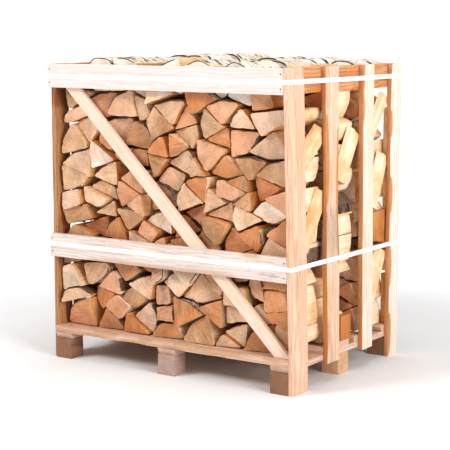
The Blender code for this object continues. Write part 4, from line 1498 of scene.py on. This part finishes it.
@dataclass
class BoardForm:
    """A sawn board made again from the sections of its solid."""

    along: int
    wanes: tuple = ()
    arris: float = 1.3 * MM
    nick: float = 30.0 * MM
    pitch: float = 8.0 * MM
    bend: int = 4
    # A wane runs further across the board's face than down its edge, which is narrower than this.
    face_width: float = 40.0 * MM
    face_reach: float = 1.6

    def sections(self, mesh: bpy.types.Mesh) -> list[np.ndarray]:
        """Reads the board's four-cornered sections in order.

        Args:
            mesh: The board's solid.

        Returns:
            For each section, its corners: near low, far low, far high, near high.
        """
        points = corners_of(mesh)
        points = points[np.argsort(points[:, self.along])]
        jumps = np.flatnonzero(np.diff(points[:, self.along]) > 20 * MM) + 1
        first, second = [axis for axis in range(3) if axis != self.along]
        found = []
        for group in np.split(points, jumps):
            middle = (group.min(axis=0) + group.max(axis=0)) / 2
            corners = []
            for a, b in ((-1, -1), (1, -1), (1, 1), (-1, 1)):
                score = (group[:, first] - middle[first]) * a / np.ptp(group[:, first])
                score = score + (group[:, second] - middle[second]) * b / np.ptp(group[:, second])
                corners.append(group[score.argmax()])
            found.append(np.array(corners))
        return found

    def build(self, stack: MeshStack, mesh: bpy.types.Mesh, seed: int) -> None:
        """Adds the board's closed mesh, with worn corners and wane, to a stack.

        Args:
            stack: What the mesh is added to.
            mesh: The board's solid.
            seed: The board's seed.
        """
        rng = random.Random(seed)
        tone = (rng.random(), rng.random(), rng.random())
        shift = sawn_from(rng)
        sections = self.sections(mesh)
        rings, shares = [], []
        travelled = 0.0
        for here, there in zip(sections, sections[1:]):
            run = float(there[:, self.along].mean() - here[:, self.along].mean())
            count = max(1, round(run / self.pitch))
            for k in range(count + (there is sections[-1])):
                share = k / count
                ring, skin = self.ring(here * (1 - share) + there * share, travelled + run * share, seed)
                rings.append(ring)
                shares.append(skin)
            travelled += run
        stack.bar(rings, tone, self.grain(rings, shift), np.concatenate(shares))

    def ring(self, corners: np.ndarray, place: float, seed: int) -> tuple[np.ndarray, np.ndarray]:
        """Rounds one section's corners: a worn arris, or the deep round of a wane.

        Args:
            corners: The section's four corners.
            place: How far along the board it is.
            seed: The board's seed.

        Returns:
            The ring's points, and for each a row of how much of it is wane and two zeros.
        """
        points, shares = [], []
        for k in range(4):
            radius, waney = self.corner_radius(k, place, seed)
            back = corners[k - 1] - corners[k]
            forth = corners[(k + 1) % 4] - corners[k]
            sizes = np.linalg.norm(back), np.linalg.norm(forth)
            reach = [self.reach(radius, size) for size in sizes]
            start = corners[k] + back / sizes[0] * reach[0]
            end = corners[k] + forth / sizes[1] * reach[1]
            whole = any(wane.whole_edge and k in wane.corners for wane in self.wanes)
            for t in np.linspace(0, 1, self.bend):
                mix = np.array(((1 - t) ** 2, 2 * t * (1 - t), t * t))
                points.append((mix[:, None] * np.array((start, corners[k], end))).sum(axis=0))
                on_edge = whole and (t if sizes[1] < sizes[0] else 1 - t) > 0.5
                shares.append((1.0 if on_edge else waney, 0.0, 0.0))
            if sizes[1] > self.face_width:
                after = self.corner_radius((k + 1) % 4, place, seed)[0]
                stop = corners[(k + 1) % 4] - forth / sizes[1] * self.reach(after, sizes[1])
                for t in (0.25, 0.5, 0.75):
                    points.append(end + (stop - end) * t)
                    shares.append((0.0, 0.0, 0.0))
        return np.array(points), np.array(shares)

    def reach(self, radius: float, size: float) -> float:
        """How far a corner of a radius reaches along a side of a size."""
        return min(radius * (1.0 if size < self.face_width else self.face_reach), 0.46 * size)

    def corner_radius(self, corner: int, place: float, seed: int) -> tuple[float, float]:
        """Finds how round a corner is at a place along the board.

        Args:
            corner: The corner's number.
            place: How far along the board it is.
            seed: The board's seed.

        Returns:
            The corner's radius, and how much of it is wane.
        """
        nick = Waves(seed * 7 + corner, 0.0, 1 / self.nick)
        worn = self.arris * (1 + 0.5 * nick.along_at(place))
        for wane in self.wanes:
            if corner not in wane.corners:
                continue
            swell = Waves(seed * 13 + corner, 0.0, 1 / wane.wave, 3).along_at(place)
            deep = wane.depth * max(0.0, swell + 0.25)
            if deep > worn:
                return deep, min(1.0, (deep - worn) / (1.5 * MM))
        return worn, 0.0

    def grain(self, rings: list, shift: np.ndarray) -> np.ndarray:
        """Works out coordinates along, across and through the board, about its middle.

        Args:
            rings: The points of each ring.
            shift: Where the board was sawn from.

        Returns:
            One row of coordinates for each point.
        """
        rows = []
        for ring in rings:
            centre = (ring.min(axis=0) + ring.max(axis=0)) / 2
            others = [axis for axis in range(3) if axis != self.along]
            spans = [np.ptp(ring[:, axis]) for axis in others]
            if spans[0] < spans[1]:
                others.reverse()
            local = ring - centre
            local[:, self.along] = ring[:, self.along]
            rows.append(local[:, [self.along, *others]] + shift)
        return np.concatenate(rows)


@dataclass
class Carpentry:
    """The crate's boards, the braces and the pallet."""

    finishes: dict
    block_rows: int = 6
    block_rim: float = 0.985
    brace_pitch: float = 20.0 * MM
    brace_arris: float = 1.4 * MM
    brace_tone: float = 0.4
    wanes: dict = field(
        default_factory=lambda: {
            "right_upright_1": (Wane((2,), 3.5 * MM, 0.12),),
            "right_upright_2": (Wane((0, 1), 9 * MM, 0.10, whole_edge=True), Wane((2, 3), 5 * MM, 0.15)),
            "right_upright_3": (Wane((0, 1), 4 * MM, 0.14, whole_edge=True),),
            "right_upright_4": (Wane((0, 1), 9 * MM, 0.09, whole_edge=True),),
            "left_upright_1": (Wane((1, 2), 8 * MM, 0.10),),
            "left_upright_2": (Wane((1, 2), 7 * MM, 0.12),),
            "left_upright_4": (Wane((1, 0), 6 * MM, 0.16),),
            "front_middle_rail": (Wane((0, 3), 2.5 * MM, 0.08),),
            "deck_board_front": (Wane((0, 3), 7 * MM, 0.05),),
            "deck_board_back": (Wane((0, 1), 6 * MM, 0.07),),
            "right_top_rail": (Wane((0, 1), 7 * MM, 0.09),),
        }
    )

    def build(self, frame: dict) -> list[bpy.types.Object]:
        """Makes every board and block again.

        Args:
            frame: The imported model.

        Returns:
            The new pieces.
        """
        made = []
        for seed, name in enumerate(sorted(frame["nodes"]), 1):
            plan = self.plan(name)
            if plan is None:
                continue
            along, finish, slot = plan
            mesh = frame["nodes"][name].data
            stack = MeshStack()
            if name.endswith("brace"):
                self.brace(stack, mesh, seed)
            elif name.startswith("block_"):
                self.block(stack, mesh, seed)
            else:
                BoardForm(along, self.wanes.get(name, ())).build(stack, mesh, seed)
            piece = stack.make(name + "_sawn", [self.finishes[finish]], sharp_degrees=32.0)
            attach(piece, BODY)
            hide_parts(name)
            made.append(piece)
        LOG.info("carpentry: %d boards and blocks", len(made))
        return made

    def plan(self, name: str) -> tuple[int, str, str] | None:
        """Plans how a node is made again.

        Args:
            name: The node's name.

        Returns:
            The axis that it runs along, its finish and its slot, or None if it isn't a board or block.
        """
        if name.startswith("block_"):
            # The front middle block and the centre right one are paler than the rest.
            kinds = {"block_front_middle": "block_pale", "block_centre_right": "block_peach"}
            return 2, kinds.get(name, "block_tan"), "pallet_block"
        if name.startswith("stringer_"):
            return 1, "deck", "pallet_board"
        if name.startswith("deck_board_"):
            return 0, "deck", "pallet_board"
        if name.endswith("_brace"):
            return 0, "brace", "brace_batten"
        if name in ("left_top_rail", "right_top_rail"):
            return 1, "side_rail", "crate_board"
        if name.endswith("_rail"):
            return 0, "top_rail" if "top" in name else "middle_rail", "crate_board"
        if "_upright_" in name:
            kinds = {"left_upright_1": "edge_tan", "right_upright_2": "stained"}
            kinds.update(right_upright_3="pale_upright", right_upright_4="pale_upright")
            return 2, kinds.get(name, "upright"), "crate_board"
        if name == "short_offcut":
            return 2, "offcut", "split_birch"
        return None

    def block(self, stack: MeshStack, mesh: bpy.types.Mesh, seed: int) -> None:
        """Adds a pallet block with furred edges, from the box of its solid.

        Args:
            stack: What the mesh is added to.
            mesh: The block's solid.
            seed: The block's seed.
        """
        points = np.array([v.co[:] for v in mesh.vertices])
        low, high = points.min(axis=0), points.max(axis=0)
        corners = [(low[0], low[1]), (high[0], low[1]), (high[0], high[1]), (low[0], high[1])]
        form = BoardForm(2, (Wane((0, 1, 2, 3), 3.5 * MM, 30 * MM),), arris=2.2 * MM)
        rings = []
        for k in range(self.block_rows + 1):
            z = low[2] + (high[2] - low[2]) * k / self.block_rows
            ring, _ = form.ring(np.array([(x, y, z) for x, y in corners]), z, seed)
            if k in (0, self.block_rows):
                middle = ring.mean(axis=0)
                ring = middle + (ring - middle) * self.block_rim
            rings.append(ring)
        rng = random.Random(seed)
        grain = np.concatenate(rings)[:, [1, 0, 2]] + sawn_from(rng, 20.0 * MM)
        stack.bar(rings, (rng.random(), rng.random(), rng.random()), grain)

    def brace(self, stack: MeshStack, mesh: bpy.types.Mesh, seed: int) -> None:
        """Adds a slanted batten with worn edges, from the outline of its solid.

        Args:
            stack: What the mesh is added to.
            mesh: The batten's solid.
            seed: The batten's seed.
        """
        points = corners_of(mesh)
        near = points[points[:, 1] < points[:, 1].mean()]
        far_y = float(points[:, 1].max())
        middle = near.mean(axis=0)
        spread = (near - middle)[:, [0, 2]]
        run = np.linalg.svd(spread)[2][0]
        run = run if run[0] > 0 else -run
        side = np.array((-run[1], run[0]))
        flat = near[:, [0, 2]]
        turn = np.arctan2(spread @ side / np.ptp(spread @ side), spread @ run / np.ptp(spread @ run))
        outline = flat[np.argsort(turn)]
        outline = self.densified(outline, self.brace_pitch)
        centre = outline.mean(axis=0)
        ahead = np.roll(outline, -1, axis=0) - np.roll(outline, 1, axis=0)
        inwards = np.stack((-ahead[:, 1], ahead[:, 0]), axis=1)
        inwards /= np.linalg.norm(inwards, axis=1)[:, None]
        edge = self.brace_arris
        rings = []
        for y, inset in ((near[0][1], edge), (near[0][1] + edge, 0.0), (far_y - edge, 0.0), (far_y, edge)):
            ring = outline + inwards * inset
            rings.append(np.column_stack((ring[:, 0], np.full(len(ring), y), ring[:, 1])))
        rng = random.Random(seed)
        points = np.concatenate(rings)
        offset = points[:, [0, 2]] - centre
        grain = np.column_stack((offset @ run, offset @ side, points[:, 1] - middle[1])) + sawn_from(rng)
        stack.bar(rings, (rng.random() * self.brace_tone, rng.random(), rng.random()), grain)

    def densified(self, outline: np.ndarray, pitch: float) -> np.ndarray:
        """Sets points every so often along a closed outline.

        Args:
            outline: The outline's corners.
            pitch: The length from one point to the next.

        Returns:
            The outline with its new points.
        """
        points = []
        for here, there in zip(outline, np.roll(outline, -1, axis=0)):
            count = max(1, round(float(np.linalg.norm(there - here)) / pitch))
            points += [here + (there - here) * k / count for k in range(count)]
        return np.array(points)


# ---------------------------------------------------------------- straps and nails


@dataclass
class Strapping:
    """The two plastic bands, each swept round the crate by a tree of geometry nodes."""

    material: bpy.types.Material
    nodes: tuple = ("top_strap", "middle_strap")
    thick: float = 1.0 * MM
    fillet: float = 0.35 * MM
    pitch: float = 12.0 * MM
    drift: float = 0.7 * MM

    def tree(self) -> bpy.types.NodeTree:
        """Builds the tree that sweeps a band's section along a path.

        Returns:
            The tree.
        """
        inputs = {"Path": "Geometry", "Width": "Float", "Thickness": "Float", "Fillet": "Float"}
        tree, given = new_tree("strap band", inputs)
        path = add_node(tree, "GeometryNodeMeshToCurve", {0: given["Path"]})
        path = add_node(tree, "GeometryNodeSetCurveNormal", {0: path}, mode="Z_UP")
        shape = {"Width": given["Thickness"], "Height": given["Width"]}
        shape = add_node(tree, "GeometryNodeCurvePrimitiveQuadrilateral", shape, mode="RECTANGLE")
        shape = {0: shape, "Radius": given["Fillet"], "Count": 2, "Limit Radius": True}
        shape = add_node(tree, "GeometryNodeFilletCurve", shape, mode="POLY")
        band = add_node(tree, "GeometryNodeCurveToMesh", {"Curve": path, "Profile Curve": shape})
        finish_tree(tree, band, self.material)
        return tree

    def path(self, mesh: bpy.types.Mesh, rng: random.Random) -> tuple[np.ndarray, float]:
        """Reads the middle line of a strap's solid, with a little slack between the boards.

        Args:
            mesh: The strap's solid.
            rng: Random draws.

        Returns:
            Points round the crate, and the band's width.
        """
        points = corners_of(mesh)
        middle = points.mean(axis=0)
        low, high = points[points[:, 2] < middle[2]], points[points[:, 2] > middle[2]]
        width = float(high[:, 2].mean() - low[:, 2].mean())
        turn = np.arctan2(low[:, 1] - middle[1], low[:, 0] - middle[0])
        low = low[np.argsort(turn)]
        pairs = [(low[k] + low[k + 1]) / 2 for k in range(0, len(low), 2)]
        ways = np.array(pairs) + (0, 0, width / 2)
        found = []
        for here, there in zip(ways, np.roll(ways, -1, axis=0)):
            run = float(np.linalg.norm(there - here))
            count = max(1, round(run / self.pitch))
            for k in range(count):
                share = k / count
                drift = self.drift * math.sin(share * 9 + rng.random() * 0.3) * math.sin(math.pi * share)
                found.append(here + (there - here) * share + (0, 0, drift))
        return np.array(found), width

    def build(self, frame: dict) -> list[bpy.types.Object]:
        """Makes both straps.

        Args:
            frame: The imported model.

        Returns:
            The new pieces.
        """
        tree = self.tree()
        made = []
        for name in self.nodes:
            path, width = self.path(frame["nodes"][name].data, random.Random(name))
            mesh = bpy.data.meshes.new(name + "_path")
            count = len(path)
            mesh.from_pydata(path.tolist(), [(k, (k + 1) % count) for k in range(count)], [])
            values = {"Width": width, "Thickness": self.thick, "Fillet": self.fillet}
            piece = grown(mesh, tree, values, name + "_band")
            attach(piece, BODY)
            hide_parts(name)
            made.append(piece)
        LOG.info("straps: %d bands", len(made))
        return made


def new_tree(name: str, inputs: dict[str, str]) -> tuple[bpy.types.NodeTree, bpy.types.bpy_prop_collection]:
    """Starts a tree of geometry nodes.

    Args:
        name: What the tree makes.
        inputs: The name and kind of each input.

    Returns:
        The tree, and the sockets that give its inputs.
    """
    tree = bpy.data.node_groups.new(name, "GeometryNodeTree")
    for title, kind in inputs.items():
        tree.interface.new_socket(title, in_out="INPUT", socket_type="NodeSocket" + kind)
    tree.interface.new_socket("Made", in_out="OUTPUT", socket_type="NodeSocketGeometry")
    return tree, add_node(tree, "NodeGroupInput").outputs


def finish_tree(tree: bpy.types.NodeTree, made: bpy.types.Node, material: bpy.types.Material) -> None:
    """Ends a tree: real meshes instead of instances, in their material.

    Args:
        tree: The tree.
        made: The node that makes the shape.
        material: The shape's material.
    """
    made = add_node(tree, "GeometryNodeRealizeInstances", {0: made})
    made = add_node(tree, "GeometryNodeSetMaterial", {0: made, "Material": material})
    add_node(tree, "NodeGroupOutput", {0: made})


def grown(mesh: bpy.types.Mesh, tree: bpy.types.NodeTree, values: dict, name: str) -> bpy.types.Object:
    """Runs a tree of geometry nodes on a mesh and keeps the result as a plain mesh.

    Args:
        mesh: What the tree starts from.
        tree: The tree.
        values: The tree's named inputs.
        name: The new piece's name.

    Returns:
        The new piece.
    """
    carrier = placed(name + "_carrier", mesh)
    modifier = carrier.modifiers.new("grow", "NODES")
    modifier.node_group = tree
    sockets = {item.name: item.identifier for item in tree.interface.items_tree if item.item_type == "SOCKET"}
    for key, value in values.items():
        modifier[sockets[key]] = value
    bpy.context.view_layer.update()
    evaluated = carrier.evaluated_get(bpy.context.evaluated_depsgraph_get())
    result = bpy.data.meshes.new_from_object(evaluated)
    result.name = name
    bpy.data.objects.remove(carrier)
    turn_outwards(result)
    return placed(name, result)


@dataclass
class Nailing:
    """The nail heads, set by a tree of geometry nodes on points where boards cross."""

    material: bpy.types.Material
    seed: int = 3
    radius: float = 2.8 * MM
    height: float = 0.9 * MM
    dome: float = 0.3 * MM
    inset: float = 11.0 * MM
    # How deep a head is driven into an upright.
    sunk: float = 0.4 * MM
    side_gauge: float = 0.55
    foot_level: float = 0.09
    # Where the two nails of a pair are, as shares of the board's width.
    pairs: tuple[float, float] = (0.3, 0.7)
    rail_pairs: tuple[float, float] = (0.22, 0.78)

    def tree(self) -> bpy.types.NodeTree:
        """Builds the tree that sets a domed head on every point, facing outwards.

        Returns:
            The tree.
        """
        inputs = {"Places": "Geometry", "Radius": "Float", "Height": "Float", "Dome": "Float", "Seed": "Int"}
        tree, given = new_tree("nail heads", inputs)
        disc = {"Vertices": 12, "Radius": given["Radius"], "Depth": given["Height"]}
        disc = add_node(tree, "GeometryNodeMeshCylinder", disc)
        dome = {0: disc, "Selection": disc.outputs["Top"], "Offset Scale": given["Dome"]}
        dome = add_node(tree, "GeometryNodeExtrudeMesh", dome)
        dome = {0: dome, "Selection": dome.outputs["Top"], "Scale": 0.6}
        dome = add_node(tree, "GeometryNodeScaleElements", dome)
        aim = add_node(tree, "GeometryNodeInputNamedAttribute", {"Name": "facing"}, data_type="FLOAT_VECTOR")
        aim = add_node(tree, "FunctionNodeAlignRotationToVector", {"Vector": aim}, axis="Z")
        sizes = add_node(tree, "FunctionNodeRandomValue", {2: 0.85, 3: 1.15, "Seed": given["Seed"]})
        gauge = add_node(tree, "GeometryNodeInputNamedAttribute", {"Name": "gauge"}, data_type="FLOAT")
        sizes = chain(tree, sizes, ("MULTIPLY", gauge))
        heads = {"Points": given["Places"], "Instance": dome, "Rotation": aim, "Scale": sizes}
        finish_tree(tree, add_node(tree, "GeometryNodeInstanceOnPoints", heads), self.material)
        return tree

    def places(self, rng: random.Random) -> list[tuple]:
        """Works out where the nails are from the boards that cross.

        Args:
            rng: Random draws.

        Returns:
            For each nail its place and the way it faces.
        """
        found = []
        for face, out in (("front", -1.0), ("back", 1.0)):
            for level in ("top", "middle"):
                low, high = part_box(f"{face}_{level}_rail")
                y = low.y if out < 0 else high.y
                for x in (low.x + self.inset, high.x - self.inset):
                    for share in self.rail_pairs:
                        found.append(((x, y, low.z + (high.z - low.z) * share), (0.0, out, 0.0)))
        for side, out in (("left", -1.0), ("right", 1.0)):
            rail_low, rail_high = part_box(f"{side}_top_rail")
            for k in range(1, 5):
                low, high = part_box(f"{side}_upright_{k}")
                spots = []
                for share in self.pairs:
                    y = low.y + (high.y - low.y) * (0.5 + (share - 0.5) * 0.8)
                    z = rail_low.z + (rail_high.z - rail_low.z) * (share + rng.uniform(-0.08, 0.08))
                    spots.append((y, z))
                spots += [(low.y + (high.y - low.y) * share, self.foot_level) for share in self.pairs]
                for y, z in spots:
                    x = self.side_at(f"{side}_upright_{k}", out, z)
                    found.append(((x, y, z), (out, 0.0, 0.0)))
        for board in ("front", "near", "middle", "far", "back"):
            low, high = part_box(f"deck_board_{board}")
            for column in ("left", "middle", "right"):
                base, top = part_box(f"stringer_{column}")
                for share in self.pairs:
                    x = base.x + (top.x - base.x) * share
                    found.append(((x, low.y + (high.y - low.y) * (1 - share), high.z), (0.0, 0.0, 1.0)))
        return found

    def side_at(self, node: str, out: float, z: float) -> float:
        """Finds an upright's outer face at a height, from the corners of its solid.

        Args:
            node: The upright's name.
            out: The way outwards along X, 1 or -1.
            z: The height.

        Returns:
            The face's place along X, less what a head is sunk.
        """
        points = np.array([v.co[:] for v in bpy.data.objects[node].data.vertices])
        levels = np.unique(np.round(points[:, 2], 4))
        outer = [(points[np.abs(points[:, 2] - level) < 1 * MM][:, 0] * out).max() for level in levels]
        return (float(np.interp(z, levels, outer)) - self.sunk) * out

    def build(self) -> bpy.types.Object:
        """Makes all the nail heads as one piece.

        Returns:
            The new piece.
        """
        spots = self.places(random.Random(5))
        mesh = bpy.data.meshes.new("nail_places")
        mesh.from_pydata([spot[0] for spot in spots], [], [])
        facing = mesh.attributes.new("facing", "FLOAT_VECTOR", "POINT")
        facing.data.foreach_set("vector", np.array([spot[1] for spot in spots], np.float32).ravel())
        gauge = mesh.attributes.new("gauge", "FLOAT", "POINT")
        gauge.data.foreach_set("value", [self.side_gauge if spot[1][0] else 1.0 for spot in spots])
        values = {"Radius": self.radius, "Height": self.height, "Dome": self.dome, "Seed": self.seed}
        piece = grown(mesh, self.tree(), values, "nail_heads")
        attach(piece, BODY)
        LOG.info("nails: %d heads", len(spots))
        return piece


# ---------------------------------------------------------------- studio


@dataclass
class Studio:
    """The floor, the soft lights and the camera."""

    # The camera's turn and dip are in degrees, and its lens is in millimetres.
    camera_place: tuple = (2.954, -4.412, 1.281)
    yaw: float = 33.82
    pitch: float = 8.26
    lens: float = 111.4
    floor_size: float = 60.0
    surround: float = 0.35
    aim: tuple = (0.0, 0.0, 0.55)
    # A broad key at the upper left, a fill at the right and a soft one above: place, size and power.
    lamps: dict = field(
        default_factory=lambda: {
            "key_light": ((-2.4, -4.6, 4.2), 1.9, 166.0),
            "fill_light": ((5.0, -1.9, 2.1), 2.4, 170.0),
            "top_light": ((0.0, 0.4, 5.0), 3.0, 80.0),
        }
    )

    def build(self) -> None:
        """Sets up all of it."""
        self.floor()
        self.lights()
        self.camera()
        LOG.info("studio: floor, lights and camera")

    def floor(self) -> None:
        """Lays the pale floor."""
        mesh = bpy.data.meshes.new("floor")
        half = self.floor_size / 2
        corners = [(-half, -half, 0), (half, -half, 0), (half, half, 0), (-half, half, 0)]
        mesh.from_pydata(corners, [], [(0, 1, 2, 3)])
        mesh.materials.append(PaleFloor().material())
        floor = placed("floor", mesh)

    def lights(self) -> None:
        """Hangs the square lights, aimed at the middle of the crate, in a bright surround."""
        for name, (place, size, power) in self.lamps.items():
            light = bpy.data.lights.new(name, "AREA")
            light.shape = "SQUARE"
            light.size = size
            light.energy = power
            lamp = placed(name, light)
            lamp.location = place
            lamp.rotation_euler = (Vector(self.aim) - Vector(place)).to_track_quat("-Z", "Y").to_euler()
        world = bpy.data.worlds.new("white_surround")
        bpy.context.scene.world = world
        world.use_nodes = True
        tree = world.node_tree
        # The surround looks white, and lights the crate more softly than it looks.
        seen = add_node(tree, "ShaderNodeLightPath").outputs["Is Camera Ray"]
        strength = chain(tree, seen, ("MULTIPLY_ADD", 1.0 - self.surround, self.surround))
        feed(tree, tree.nodes["Background"], {"Color": "ffffff", "Strength": strength})
        bpy.context.scene.view_settings.view_transform = "Standard"
        bpy.context.scene.view_settings.look = "Medium High Contrast"

    def camera(self) -> None:
        """Stands the camera to the right of the front, looking a little down."""
        lens = bpy.data.cameras.new("camera")
        lens.lens = self.lens
        camera = placed("camera", lens)
        camera.location = self.camera_place
        camera.rotation_euler = (math.radians(90 - self.pitch), 0.0, math.radians(self.yaw))
        bpy.context.scene.camera = camera


def board_finishes() -> dict[str, bpy.types.Material]:
    """Makes the finish of each kind of board.

    Returns:
        The materials by the kind's name.
    """
    grey_stain = Stain(level=0.545, colour="8c7766", reach=100.0 * MM, depth=0.6)
    upright = {"pale": "efd3bd", "mid": "e2b99a", "line": "b47c58", "grime_share": 0.4, "contrast": 1.25}
    finishes = {
        "upright": SawnBoard("fresh_sawn_upright", knot_share=0.22, **upright),
        "stained": SawnBoard("stained_sawn_upright", stain=grey_stain, **upright),
        "edge_tan": SawnBoard(
            "sunburnt_upright", "c09066", "a57144", "744726", stain=Stain(level=1.0), contrast=1.2
        ),
        "pale_upright": SawnBoard(
            "pale_sawn_upright", "f7e8dc", "f0d8c4", "cc9c78", knot_share=0.22, contrast=1.1
        ),
        "top_rail": SawnBoard(
            "bleached_sawn_rail", "ebdfdb", "e3d1ca", "c4a99b", knot_share=0.1, contrast=0.8
        ),
        "middle_rail": SawnBoard(
            "weathered_sawn_rail", "f0e3db", "dfcabe", "9f8b7f", wane="cdb09c", grime_share=0.42
        ),
        "brace": SawnBoard("planed_batten", "f2d8c6", "e6c2a6", "c49872", knot_share=0.1, contrast=0.6),
        "side_rail": SawnBoard(
            "resinous_sawn_rail", "e2a878", "c98048", "8c4c24", grime_share=0.3, contrast=1.3
        ),
        "deck": SawnBoard("sawn_deck_board", "e8cab6", "d2a88c", "93705a", wane="c79f80", grime_share=0.34),
        "block_tan": SawnBoard("tan_pallet_block", "a37b5f", "8a6449", "5a3c2a", grime_share=0.3),
        "block_pale": SawnBoard("pale_pallet_block", "c2a89c", "b08e80", "84685c", grime_share=0.2),
        "block_peach": SawnBoard("peach_pallet_block", "e0b994", "d0a27c", "9c7050", grime_share=0.1),
        "offcut": SawnBoard("orange_offcut", "dc9c5c", "c47c3c", "84491e", contrast=1.2),
    }
    return {name: finish.material() for name, finish in finishes.items()}


def main() -> None:
    """Builds every part of the crate in order and reports it."""
    logging.basicConfig(level=logging.INFO, format="%(name)s: %(message)s")
    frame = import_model()
    bark = BirchBark().material()
    WoodPile([SawnEnd().material(), SplitFace().material(), bark]).build(frame)
    Carpentry(board_finishes()).build(frame)
    Strapping(StrapPlastic().material()).build(frame)
    Nailing(NailSteel().material()).build()
    Studio().build()


if __name__ == "__main__":
    main()
